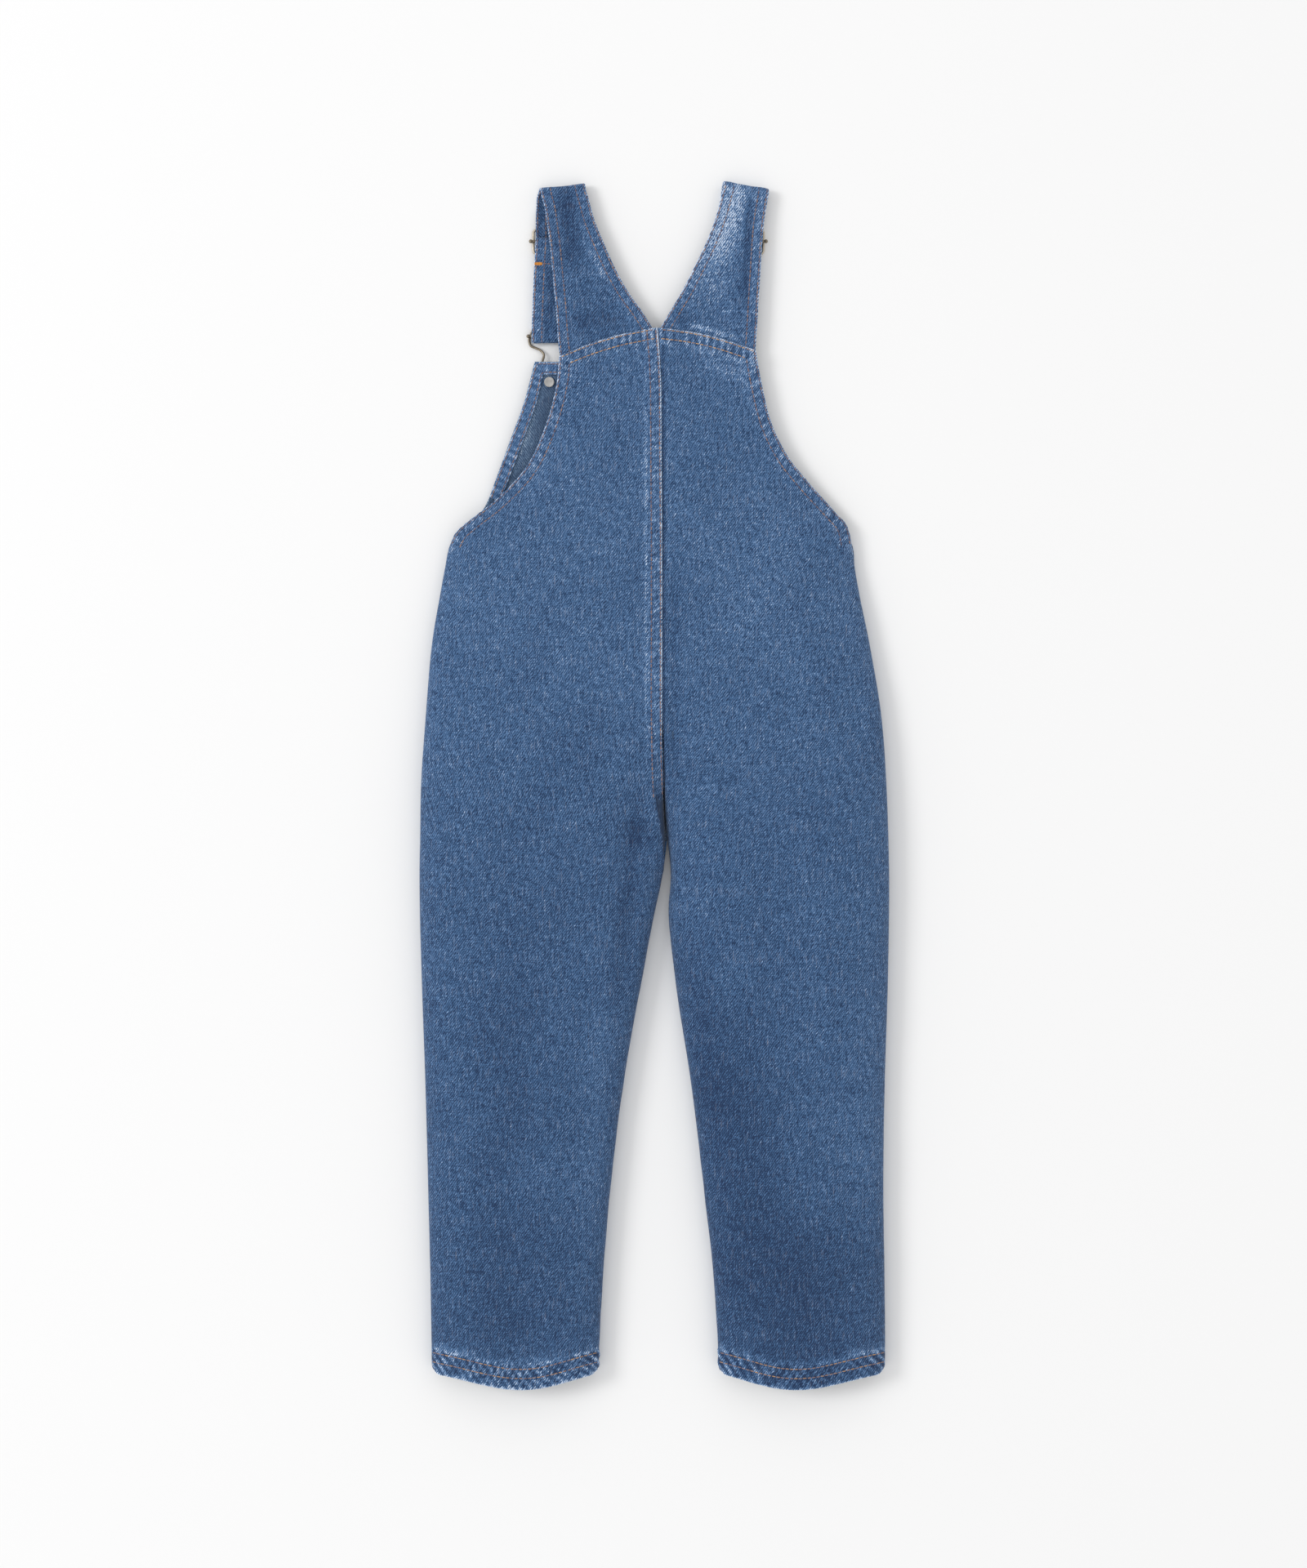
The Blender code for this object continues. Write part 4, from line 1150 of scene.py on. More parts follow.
# Painted light and shade on the bib's inside: paler where its soft folds catch the light, and a painted
# shadow near the right of it.
BIB_PAINTED_LIGHT_AND_SHADE = (
    # x0, y0, x1, y1, amount, width
    (-79, 262, -91, 222, 0.15, 4.0),
    # painted shadow near the right of the bib's visible inside
    (-71, 266, -78, 240, -0.06, 3.5),
    (-84, 232, -90, 226, 0.14, 2.5),
    (-78, 236, -100, 204, 0.06, 8.0),
)


def front_cloth(name, table, seed):
    """Half of the front with its half of the bib, outer face down."""
    length = row_knots(table)[-1]
    along = rows_along(length, FRONT_SPACING)
    share = columns_across(table, along, FRONT_BETWEEN)
    along = np.broadcast_to(along[:, None], share.shape)
    form = front_point(table, share, along)
    normal = grid_normals(form, -1)
    side = form[:, 0]
    edges = (
        Edge(form[0], seed, HEM_ROWS, HEM_BAND, pitch=HEM_PITCH, **FRONT_HEM),
        Edge(side[side[:, 1] > UNDERARM_Y], seed + 20, rounded=BIB_ROUNDED),
        Edge(form[-1], seed + 40, rounded=BIB_ROUNDED),
    )
    relief, wear, rounding = sewn_round(form, edges)
    x, y = form[..., 0], form[..., 1]
    outer = form - normal * rounding[..., None]
    # painted light and shade on the bib's inside
    wear += fold_depth(BIB_PAINTED_LIGHT_AND_SHADE, x, y)
    upper = np.clip(relief + 0.3 * soft_noise(x, y, 28, seed + 80), -0.3, 0.3)
    inner = form - normal * (CLOTH - rounding + 0.4 * upper)[..., None]
    outer, inner = corners_rounded(outer, form), corners_rounded(inner, form)
    mesh = cloth_mesh(name, outer, inner, cloth_place(form, -1), wear, -1, two_sided=True)
    print(name, "triangles:", triangles(mesh))
    return add_piece(name, mesh, "denim", denim_right, denim_wrong)


front_left = front_cloth("front_left_cloth", FRONT_LEFT, 500)
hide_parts("front_left_leg", "front_left_bib")
front_right = front_cloth("front_right_cloth", FRONT_RIGHT, 600)
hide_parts("front_right_leg", "front_right_bib")

# %% [markdown]
# ### The turned edge inside the bib
#
# Seen from behind, the bib shows its inside, and round its edge the right side of the denim that was turned
# over and stitched down. It is one strip up the left armhole, along the top and down the right armhole.

# %% The strip's path
FACING_WIDTH = 8.4
FACING_THICK = 1.0
FACING_START_Y = 192.0
FACING_MARGIN = 0.5
CORNER_IN_LEFT, CORNER_IN_RIGHT = 5.2, -5.5  # how far in the strip's inner corners lie
EDGE_POINTS = 400
EDGE_STEP = 7  # every so many of those points make a row of the strip


def facing_paths():
    """The strip's outer and inner edge in plan, up the left side, over the bib's top and down the right."""
    left = row_at(FRONT_LEFT, np.linspace(0, 1, EDGE_POINTS))[:, :2]
    right = row_at(FRONT_RIGHT, np.linspace(0, 1, EDGE_POINTS))[:, :2]
    left = left[left[:, 1] > FACING_START_Y][::EDGE_STEP][:-1]
    right = right[right[:, 1] > FACING_START_Y][::EDGE_STEP][:-1]
    left_in = left - square_to(left) * FACING_WIDTH
    right_in = right + square_to(right) * FACING_WIDTH
    corner_left = np.array(FRONT_LEFT[-1][:2]) + (FACING_MARGIN, -FACING_MARGIN)
    corner_right = np.array(FRONT_RIGHT[-1][:2]) + (-FACING_MARGIN, -FACING_MARGIN)
    corner_left_in = corner_left + (CORNER_IN_LEFT, -FACING_WIDTH)
    corner_right_in = corner_right + (CORNER_IN_RIGHT, -FACING_WIDTH)
    keep_left = left_in[:, 1] < corner_left_in[1] - 1
    keep_right = right_in[:, 1] < corner_right_in[1] - 1
    outside = [left[keep_left] + (FACING_MARGIN, 0), [corner_left], [corner_right]]
    outside.append((right[keep_right] - (FACING_MARGIN, 0))[::-1])
    inside = [left_in[keep_left], [corner_left_in], [corner_right_in], right_in[keep_right][::-1]]
    return np.concatenate(outside), np.concatenate(inside)


def evened(outside, inside, spacing):
    """Both paths with a pair of points every so often along the outer one."""
    knots = reached(outside)
    at = np.unique(np.concatenate([np.linspace(0, knots[-1], int(knots[-1] / spacing)), knots]))
    return read_along(outside, knots, at), read_along(inside, knots, at)


# %% The strip
FACING_SPACING = 1.3
FACING_SHARES = np.array(
    # how far across the strip each of its columns lies
    (0, 0.012, 0.035, 0.07, 0.11, 0.17, 0.25, 0.35, 0.46, 0.57, 0.68, 0.78, 0.86, 0.92, 0.965, 1)
)
FACING_ROWS = (1.25, 6.9)
FACING_OUTER = {"raised": 0.15, "pucker": 0.3, "slow": 0.15, "skew": 0.15, "worn": 0.36, "rounded": 0.75}
FACING_INNER = {"raised": 0.0, "pucker": 0.0, "slow": 0.0, "skew": 0.0, "worn": 0.25, "rounded": 0.5}
FACING_PITCH = 5.2


def facing_cloth(name, seed):
    """The strip, which is stitched at its outer edge and only lies against the bib at its inner one."""
    outside, inside = evened(*facing_paths(), FACING_SPACING)
    plan = outside[:, None] + (inside - outside)[:, None] * FACING_SHARES[None, :, None]
    low = bib_lift(plan[..., 1]) + CLOTH + SEAM_GAP
    form = np.concatenate([plan, (low + FACING_THICK)[..., None]], axis=2)
    normal = grid_normals(form, 1)
    edges = (
        Edge(form[:, 0], seed, FACING_ROWS, FACING_WIDTH, pitch=FACING_PITCH, **FACING_OUTER),
        Edge(form[:, -1], seed + 7, (), 0.1, pitch=FACING_PITCH, **FACING_INNER),
    )
    relief, wear, rounding = sewn_round(form, edges)
    outer = form + normal * (relief - rounding)[..., None]
    under = form - normal * (FACING_THICK + 0.1 - np.minimum(rounding, FACING_THICK / 2))[..., None]
    mesh = cloth_mesh(name, outer, under, (form[..., 0], form[..., 1]), wear, 1)
    print(name, "triangles:", triangles(mesh))
    return add_piece(name, mesh, "denim_inside", denim_turned), outer


facing, facing_face = facing_cloth("bib_facing_cloth", 700)
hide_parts("bib_facing")

# %% [markdown]
# ### The straps
#
# Each strap is one long strip that leaves the yoke, tapers, folds over at the shoulder, runs down the front
# through the slider, round the clip's bar and back up to the slider's own bar. It is two layers of denim,
# turned in at both edges. It is flat webbing with one clear route, so it is lofted from rows along that
# route. A cloth simulation would have to be stopped from slipping off its bars.

# %% The straps' route
SLIDER_Y = 367.0
SLIDER_HALF_HEIGHT = 8.45
SLIDER_BAR_Z = 4.0
BAR_R = 0.8
CLIP_BAR_Y = 303.0
CLIP_BAR_Z = 3.3
CLIP_BAR_R = 0.9
CLIP_LOOP_REACH = 4.0
STRAP_BACK_LEFT = (
    # outer_x, outer_y, inner_x, inner_y
    (-63.7, 289.0, -1.6, 308.3),
    (-64.9, 300, -7.0, 317),
    (-66.2, 320, -17.5, 332),
    (-68.2, 340, -26.6, 348.5),
    (-70.0, 360, -34.6, 366.5),
    (-72.3, 378, -40.6, 381.5),
    (-74.4, 391, -44.2, 395),
    (-76.6, 399.8, -46.4, 402.8),
)
STRAP_FRONT_LEFT = (
    # outer_x, outer_y, inner_x, inner_y
    (-79.2, 397.8, -48.4, 401.4),
    (-80.0, 384, -50.0, 386),
    (-80.1, SLIDER_Y, -50.9, SLIDER_Y),
    (-81.0, 350, -52.0, 350),
    (-82.3, 320, -53.6, 320),
    (-82.8, CLIP_BAR_Y, -54.3, CLIP_BAR_Y),
)
STRAP_BACK_RIGHT = (
    # outer_x, outer_y, inner_x, inner_y
    (68.2, 292.9, 4.3, 308.3),
    (69.3, 309.7, 11.0, 319.5),
    (70.3, 327, 19.5, 334),
    (71.4, 344.5, 27.0, 349),
    (72.5, 362, 34.3, 364),
    (73.9, 379, 40.6, 380),
    (75.8, 391, 44.9, 396),
    (77.2, 399.6, 46.9, 404.6),
)
STRAP_FRONT_RIGHT = (
    # outer_x, outer_y, inner_x, inner_y
    (76.0, 397.0, 45.4, 402.4),
    (74.4, 384, 44.0, 386.5),
    (72.1, SLIDER_Y, 42.9, SLIDER_Y),
    (69.9, 345, 40.9, 345),
    (66.6, 318, 38.0, 318),
    (64.7, CLIP_BAR_Y, 36.2, CLIP_BAR_Y),
)
STRAP_TUCK = 3.2  # how far the strap's end reaches under the yoke
STRAP_TUCK_Z = 7.7
STRAP_BACK_Z = (
    # y, height
    (297, 8.05),
    (302, 8.3),
    (310, 8.7),
    (325, 8.7),
    (340, 8.5),
    (370, 8.1),
    (391, 7.3),
    (401, 6.9),
)
STRAP_DOWN_Z = (
    # y, height
    (CLIP_BAR_Y, 1.5),
    (330, 1.0),
    (343, 1.3),
    (350, 3.0),
    (SLIDER_Y - SLIDER_HALF_HEIGHT, 3.9),
    (363, 2.3),
    (SLIDER_Y, 0.8),
    (371, 2.3),
    (SLIDER_Y + SLIDER_HALF_HEIGHT, 3.9),
    (384, 3.0),
    (390, 1.5),
    (400, 1.1),
)
STRAP_RETURN_Z = ((CLIP_BAR_Y, 5.1), (330, 5.0), (350, 5.4), (358, 5.7), (SLIDER_Y, 5.7))
DOWN_STOPS = (
    # y of each row on the way down, close together where the strap passes the slider
    (391, 387, 383, 379, 375.5, 372.5, 370, 367, 364, 361.5, 358.5, 355, 351, 347, 343)
    + (336, 325, 314, CLIP_BAR_Y)
)
RETURN_STOPS = (314, 325, 336, 346, 354, 361, SLIDER_Y)  # y of each row on the way back up
BACK_ROWS = 15
SHOULDER_Y = 398.0
SHOULDER_TURN, CLIP_TURN, SLIDER_TURN = 7, 9, 8  # rows round each bend
BAR_GAP = SEAM_GAP + CLOTH / 2  # from a bar's surface to the middle of the strap round it


def arc_rows(start, end, centre_z, radius, angles, reach=None):
    """Rows of a strap that turns about a bar, as the angle runs over angles."""
    rows, heights = [], []
    reach = reach or radius
    for k, angle in enumerate(angles):
        t = k / (len(angles) - 1)
        row = np.array(start) * (1 - t) + np.array(end) * t
        row[[1, 3]] += reach * math.cos(angle)
        rows.append(row)
        heights.append(centre_z + radius * math.sin(angle))
    return rows, heights


def strap_rows(back, front):
    """Every row of a strap: over the shoulder, down to the clip, and up to the slider."""
    first, second = row_at(back, np.array(0.0)), row_at(back, np.array(0.02))
    backwards = first - second
    for side in (slice(0, 2), slice(2, 4)):
        backwards[side] /= np.linalg.norm(backwards[side])
    rows, heights = [first + backwards * STRAP_TUCK], [STRAP_TUCK_Z]
    for along in np.linspace(0, 1, BACK_ROWS):
        row = row_at(back, np.array(along))
        rows.append(row)
        heights.append(float(height(STRAP_BACK_Z, np.array((row[1] + row[3]) / 2))))
    top, bottom = heights[-1], float(height(STRAP_DOWN_Z, np.array(SHOULDER_Y)))
    radius = (top - bottom) / 2
    turn = np.linspace(math.pi / 2, -math.pi / 2, SHOULDER_TURN)[1:]
    shoulder = arc_rows(back[-1], front[0], bottom + radius, radius, turn)
    rows += shoulder[0]
    heights += shoulder[1]

    down = np.array([row_at(front, np.array(t)) for t in np.linspace(0, 1, 200)])
    middle = (down[:, 1] + down[:, 3]) / 2

    def down_row(y):
        return np.array([np.interp(-y, -middle, column) for column in down.T])

    for y in DOWN_STOPS:
        rows.append(down_row(y))
        heights.append(float(height(STRAP_DOWN_Z, np.array(float(y)))))
    turn = np.linspace(-math.pi / 2, -1.5 * math.pi, CLIP_TURN)[1:]
    clip = arc_rows(front[-1], front[-1], CLIP_BAR_Z, CLIP_BAR_R + BAR_GAP, turn, CLIP_LOOP_REACH)
    rows += clip[0]
    heights += clip[1]
    for y in RETURN_STOPS:
        rows.append(down_row(y))
        heights.append(float(height(STRAP_RETURN_Z, np.array(float(y)))))
    turn = np.linspace(math.pi / 2, -0.4 * math.pi, SLIDER_TURN)[1:]
    wrap = arc_rows(rows[-1], rows[-1], SLIDER_BAR_Z, BAR_R + BAR_GAP, turn)
    rows += wrap[0]
    heights += wrap[1]
    return np.array(rows), np.array(heights)


# %% The straps' form
STRAP_COLUMNS = 34
STRAP_SPACING = 1.35
STRAP_NEAR_EDGE = (0, 0.06, 0.2, 0.4, 0.65, 0.95, 1.4, 2.2, 3.2, 4.4, 5.6, 6.8, 8.0, 9.4)
YOKE_BOW_REACH = 30  # how far up the strap the bow of the yoke's seam fades out


def strap_form(back, front):
    """The strap's grid, each point's share of the width, the widths, the lengths, and where it turns over."""
    rows, heights = strap_rows(back, front)
    route = np.column_stack([rows, heights])
    centre = np.column_stack([(rows[:, :2] + rows[:, 2:]) / 2, heights])
    knots = reached(centre)
    at = rows_along(knots[-1], STRAP_SPACING) * knots[-1]
    fine = spline(knots, route, at)
    width = np.hypot(fine[:, 2] - fine[:, 0], fine[:, 3] - fine[:, 1])[:, None]
    share = shares_across(width, STRAP_NEAR_EDGE, STRAP_COLUMNS - 2 * len(STRAP_NEAR_EDGE))
    plan = fine[:, None, :2] + (fine[:, None, 2:4] - fine[:, None, :2]) * share[..., None]
    plan[..., 1] += YOKE_BOW * np.sin(math.pi * share) * (1 - smoothstep(0, YOKE_BOW_REACH, at))[:, None]
    form = np.concatenate([plan, np.broadcast_to(fine[:, None, 4:], (*plan.shape[:2], 1))], axis=2)
    return form, share, width, at, knots[BACK_ROWS]


# %% [markdown]
# A strap's two edges are turned in and stitched along its whole length, so every point can be told apart by
# its distance from the nearer edge alone. The turned band stands a little proud, ripples between its two rows
# of stitching, and has lost its dye where it rubs. The folds that the strap has from being worn are listed,
# as on the back.

# %% The straps' cloth
STRAP_FOLDS = (
    # x0, y0, x1, y1, depth, width
    (65, 402, 61, 322, 0.55, 3.4),
    (-60, 408, -55.5, 345, 0.5, 7),
    (20, 311.5, 58, 299.5, -0.5, 2.2),
    (49, 326, 59, 301, -0.3, 1.2),
    (-38, 350, -41, 318, -0.25, 3.0),
    (52, 400, 38, 366, -0.35, 6),
)
STRAP_ROWS = (EDGE_ROW, EDGE_ROW + 5.6)
STRAP_BAND = (7.4, 9.2)  # from the edge, where the turned band ends
STRAP_RAISED = 0.25
STRAP_PITCH = 5.3
STRAP_ROUNDED = 0.85
STRAP_HALF = CLOTH / 2 + 0.05


def strap_surface(form, share, from_edge, along, seed):
    """The relief, and the wear with painted light and shade, of a strap at every point."""
    x, y = form[..., 0], form[..., 1]
    skewed = along + 0.4 * from_edge
    waves = np.where(share < 0.5, ripple(skewed, STRAP_PITCH, seed), ripple(skewed, STRAP_PITCH, seed + 3))
    waves = np.tanh(RIDGE_SHARPNESS * waves)
    rising, falling = 0.5 + 0.5 * smoothstep(0, 4, from_edge), 1 - smoothstep(4, 11, from_edge)
    waves *= np.where(from_edge < 4, rising, falling)
    turned = 1 - smoothstep(*STRAP_BAND, from_edge)
    pulled = sum(np.exp(-(((from_edge - row) / DENT) ** 2)) for row in STRAP_ROWS)
    relief = STRAP_RAISED * turned + 0.13 * waves - 0.17 * pulled
    relief += 0.15 * soft_noise(x, along, 16, seed + 8)
    relief -= fold_depth(STRAP_FOLDS, x, y)
    worn = 0.42 * np.exp(-(from_edge**2)) * (0.85 + 0.3 * soft_noise(along, share * 3, 8, seed + 9))
    # pale wear on the edge and the band, the crests paler and the troughs darker partly as painted light and
    # shade, and painted shade in the stitches' dents
    wear = worn + 0.08 * waves * turned + 0.05 * turned - 0.1 * pulled
    past = np.clip(from_edge - 7.6, 0, None)
    beyond = np.exp(-((past / 3.0) ** 2)) * (1 - turned)
    wear += 0.06 * beyond * (1 + soft_noise(along, share * 9, 7, seed + 12))
    # the listed pale and dark places, some of them painted shade in the folds, and the strap a little darker
    # overall
    wear += fold_depth(STRAP_FADES_AND_SHADE, x, y) - 0.02
    return relief, wear


def strap_cloth(name, back, front, seed):
    """A whole strap, with what its stitching needs: both faces, the shares, the widths and the lengths."""
    form, share, width, at, over = strap_form(back, front)
    normal = grid_normals(form, 1)
    normal *= np.sign(normal[5, STRAP_COLUMNS // 2, 2])
    from_edge = np.minimum(share, 1 - share) * width
    along = np.broadcast_to(at[:, None], share.shape)
    relief, wear = strap_surface(form, share, from_edge, along, seed)
    edge_gap = np.minimum(from_edge, np.minimum(along, at[-1] - along))
    rounding = round_off(edge_gap, STRAP_ROUNDED)
    outer = form + normal * (STRAP_HALF + np.clip(relief, -0.2, 0.5) - rounding)[..., None]
    inner = form - normal * (STRAP_HALF + np.clip(relief, -0.2, 0.2) - rounding)[..., None]
    top = np.array([np.interp(over, at, column) for column in form[..., 1].T])
    grain = np.where(along < over, form[..., 1], top + along - over)
    mesh = cloth_mesh(name, outer, inner, (form[..., 0], grain), wear, 1)
    print(name, "length in millimetres:", round(at[-1], 1))
    return add_piece(name, mesh, "denim", denim_right), outer, inner, share, width, at


strap_left, *left_strap = strap_cloth("strap_left_cloth", STRAP_BACK_LEFT, STRAP_FRONT_LEFT, 800)
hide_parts("strap_left")
strap_right, *right_strap = strap_cloth("strap_right_cloth", STRAP_BACK_RIGHT, STRAP_FRONT_RIGHT, 900)
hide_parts("strap_right")

# %% [markdown]
# ## Topstitching
#
# A stitch is a short length of thread that rises out of one hole, lies on the cloth and goes down the next.
# Painted stitches look flat and slide off the seams, so each one is a small mesh. A row is laid out along a
# copy of its edge moved inwards, each stitch is dropped on the finished cloth from above, and all the
# stitches of a piece are joined into one mesh.

# %% Laying out a row
STITCH_PITCH = 3.0
STITCH_SHARE = 0.9  # how much of the pitch shows as thread
PITCH_DRIFT = 0.05  # how far the sewer's stitches differ in length, as a share of the pitch
THREAD_R = 0.38
LAYOUT_STEP = 0.8
DROP_FROM = 80.0


def moved_in(path, distance, towards):
    """A copy of a path in plan, moved sideways by a distance towards a point."""
    plan = thinned(path[:, :2], LAYOUT_STEP)
    across = square_to(plan)
    middle = len(plan) // 2
    facing_in = np.sign(across[middle] @ (np.array(towards) - plan[middle]))
    return plan + across * facing_in * distance


def stitch_ends(plan, rng):
    """Both ends of every stitch along a path in plan."""
    knots = reached(plan)
    count = max(1, round(knots[-1] / STITCH_PITCH))
    pitch = knots[-1] / count
    starts = (np.arange(count) + 0.07) * pitch
    ends = starts + pitch * (STITCH_SHARE + rng.uniform(-PITCH_DRIFT, PITCH_DRIFT, count))
    return read_along(plan, knots, starts), read_along(plan, knots, ends)


def dropped(tree, points):
    """The points in plan, dropped from above on the cloth. One that misses becomes not a number."""
    found = np.full((len(points), 3), np.nan)
    for k, (x, y) in enumerate(points):
        place = tree.ray_cast(Vector((x, y, DROP_FROM)), Vector((0, 0, -1)))[0]
        if place is not None:
            found[k] = place
    return found


def tree_of(face):
    """A face of cloth as a tree of its quads, in which a falling point is quick to follow."""
    return BVHTree.FromPolygons(face.reshape(-1, 3).tolist(), grid_quads(*face.shape[:2]).tolist())


# %% One mesh for many stitches
# each ring of a stitch: how far along it lies, how thick it is, and how high, in thread radii
STATIONS = np.array((0.0, 0.07, 0.25, 0.5, 0.75, 0.93, 1.0))
SWELL = np.array((0.3, 0.75, 1.0, 1.0, 1.0, 0.75, 0.3))
RISE = np.array((-0.75, -0.2, 0.12, 0.22, 0.12, -0.2, -0.75))
SIDES = 6
FLATTENED = 0.8  # thread on a seam is a little wider than it is high
UPWARDS = (0.0, 0.0, 1.0)


def stitches_mesh(name, starts, ends, radius, rng, tones=(0.15, 0.6), ups=UPWARDS):
    """A mesh with a rounded length of thread from each start to its end."""
    tones = np.broadcast_to(np.asarray(tones, float), (len(starts), 2))
    ups = np.broadcast_to(np.asarray(ups, float), starts.shape)
    good = ~(np.isnan(starts).any(axis=1) | np.isnan(ends).any(axis=1))
    starts, ends, ups, tones = starts[good], ends[good], ups[good], tones[good]
    count, stations = len(starts), len(STATIONS)
    lengthwise = ends - starts
    span = np.linalg.norm(lengthwise, axis=1, keepdims=True)
    forward = lengthwise / span
    sideways = np.cross(forward, ups)
    sideways /= np.linalg.norm(sideways, axis=1, keepdims=True)
    above = np.cross(sideways, forward)
    sizes = radius * rng.uniform(0.9, 1.12, count)
    angles = np.arange(SIDES) * 2 * math.pi / SIDES
    centre = starts[:, None] + lengthwise[:, None] * STATIONS[None, :, None]
    centre = centre + above[:, None] * (RISE[None, :, None] * sizes[:, None, None])
    level, upright = np.cos(angles)[None, :, None], np.sin(angles)[None, :, None]
    ring = sideways[:, None] * level + above[:, None] * upright * FLATTENED
    swell = (SWELL[None, :] * sizes[:, None])[..., None, None]
    points = centre[:, :, None] + ring[:, None] * swell
    index = np.arange(count * stations * SIDES).reshape(count, stations, SIDES)
    turned = np.roll(index, -1, axis=2)
    quads = np.stack([index[:, :-1], turned[:, :-1], turned[:, 1:], index[:, 1:]], axis=-1).reshape(-1, 4)
    caps = np.concatenate([index[:, 0, ::-1], index[:, -1]])
    mesh = bpy.data.meshes.new(name)
    mesh.from_pydata(to_metres(points.reshape(-1, 3)).tolist(), [], quads.tolist() + caps.tolist())
    mesh.shade_smooth()
    length_along = STATIONS[None, :, None] * span[:, :, None] + rng.uniform(0, 9, count)[:, None, None]
    round_it = np.arange(SIDES)[None, None, :] / SIDES
    place = np.stack(np.broadcast_arrays(length_along, round_it, np.zeros((1, 1, 1))), axis=-1)
    store(mesh, "cloth", "FLOAT_VECTOR", place.reshape(-1, 3))
    drawn = tones[:, 0] + (tones[:, 1] - tones[:, 0]) * rng.uniform(0, 1, count)
    tone = np.broadcast_to(drawn[:, None, None], index.shape)
    store(mesh, "wear", "FLOAT", tone.reshape(-1))
    return mesh


# %% [markdown]
# On the back, both rows of a seam are worked out from the panel's own edges. The second row of an armhole
# turns the corner into the second row of the yoke, so each row stops where it meets the other one.

# %% Rows on the back
BRIGHTEST = (0.48, 0.98)  # darkest and palest thread of the yoke
BRIGHT = (0.30, 0.82)  # of the hems
DULL = (0.12, 0.60)  # and of the seams that have rubbed and taken up more blue
CENTRE_ROWS = ((EDGE_ROW, -34), (EDGE_ROW + TWIN_GAP, -9))  # from the edge, and the y where each ends


def kept(plan, path, least):
    """The part of a row that stays at least so far from another edge."""
    level = np.column_stack([path[:, :2], np.zeros(len(path))])
    gap, _ = nearest(np.column_stack([plan, np.zeros(len(plan))]), level)
    return plan[gap >= least]


def back_stitches(name, edges, face, towards, centre_path, seed):
    """All the topstitching of one half of the back."""
    rng = np.random.default_rng(seed)
    tree = tree_of(face)
    rows = [(moved_in(edges["hem"].path, distance, towards), BRIGHT) for distance in HEM_ROWS]
    for number, distance in enumerate(edges["armhole"].rows):
        least = distance - 0.05 if number else 1.0
        row = moved_in(edges["armhole"].path, distance, towards)
        rows.append((kept(row, edges["yoke"].path, least), DULL))
        row = moved_in(edges["yoke"].path, distance, towards)
        rows.append((kept(row, edges["armhole"].path, least), BRIGHTEST))
    if centre_path is not None:
        for distance, lowest in CENTRE_ROWS:
            row = moved_in(centre_path, distance, towards)
            row = kept(row[row[:, 1] > lowest], edges["yoke"].path, EDGE_ROW)
            rows.append((row, DULL))
    starts, ends, tones = [], [], []
    for row, tone in rows:
        first, last = stitch_ends(row, rng)
        starts.append(dropped(tree, first))
        ends.append(dropped(tree, last))
        tones.append(np.tile(tone, (len(first), 1)))
    starts, ends, tones = np.concatenate(starts), np.concatenate(ends), np.concatenate(tones)
    mesh = stitches_mesh(name, starts, ends, THREAD_R, rng, tones)
    print(name, "stitches:", len(starts), "faces:", len(mesh.polygons))
    return add_piece(name, mesh, "denim", tan_thread)


back_left_stitches = back_stitches(
    "back_left_stitches", left_edges, left_face, (-60, 100), left_edges["centre"].path, 41
)
back_right_stitches = back_stitches("back_right_stitches", right_edges, right_face, (60, 100), None, 42)


# %% [markdown]
# A strap has the same two rows along each edge, but it turns over on itself, so nothing can be dropped on it
# from above. Its rows are read off its own grid instead, on both faces.

# %% Rows on the straps and the bib
def grid_row(face, share, width, at, distance, from_inner, first, last):
    """A path on a strap's face, at a distance from one edge, between two places along it."""
    wanted = distance / width[:, 0]
    wanted = 1 - wanted if from_inner else wanted
    lines = zip(wanted, share, face)
    path = np.array([[np.interp(place, known, column) for column in line.T] for place, known, line in lines])
    return path[(at >= first) & (at <= last)]


def path_stitches(path, rng, ups):
    """Both ends of every stitch along a path, and the way out of the cloth at its middle."""
    knots = reached(path)
    count = int(knots[-1] / STITCH_PITCH)
    starts = (np.arange(count) + 0.1) * STITCH_PITCH
    ends = starts + STITCH_PITCH * (STITCH_SHARE + rng.uniform(-PITCH_DRIFT, PITCH_DRIFT, count))
    middles = (starts + ends) / 2
    return read_along(path, knots, starts), read_along(path, knots, ends), read_along(ups, knots, middles)


def strap_stitches(name, strap, seed):
    """Both rows along both edges, on both faces of a strap."""
    outer, inner, share, width, at = strap
    rng = np.random.default_rng(seed)
    starts, ends, ups = [], [], []
    for face, other in ((outer, inner), (inner, outer)):
        for distance in STRAP_ROWS:
            for from_inner in (False, True):
                path = grid_row(face, share, width, at, distance, from_inner, 1, at[-1] - 2)
                under = grid_row(other, share, width, at, distance, from_inner, 1, at[-1] - 2)
                out = path - under
                out /= np.linalg.norm(out, axis=1, keepdims=True)
                first, last, up = path_stitches(path, rng, out)
                starts.append(first)
                ends.append(last)
                ups.append(up)
    starts, ends, ups = np.concatenate(starts), np.concatenate(ends), np.concatenate(ups)
    mesh = stitches_mesh(name, starts, ends, THREAD_R, rng, ups=ups)
    print(name, "stitches:", len(starts))
    return add_piece(name, mesh, "denim", tan_thread)


strap_left_stitches = strap_stitches("strap_left_stitches", left_strap, 43)
strap_right_stitches = strap_stitches("strap_right_stitches", right_strap, 44)


# %% [markdown]
# Below the slider the strap's end is sewn down by one row across, and each end of that row is locked by a bar
# tack: a dense block of short orange threads side by side. It is built from the same stitches, packed close.

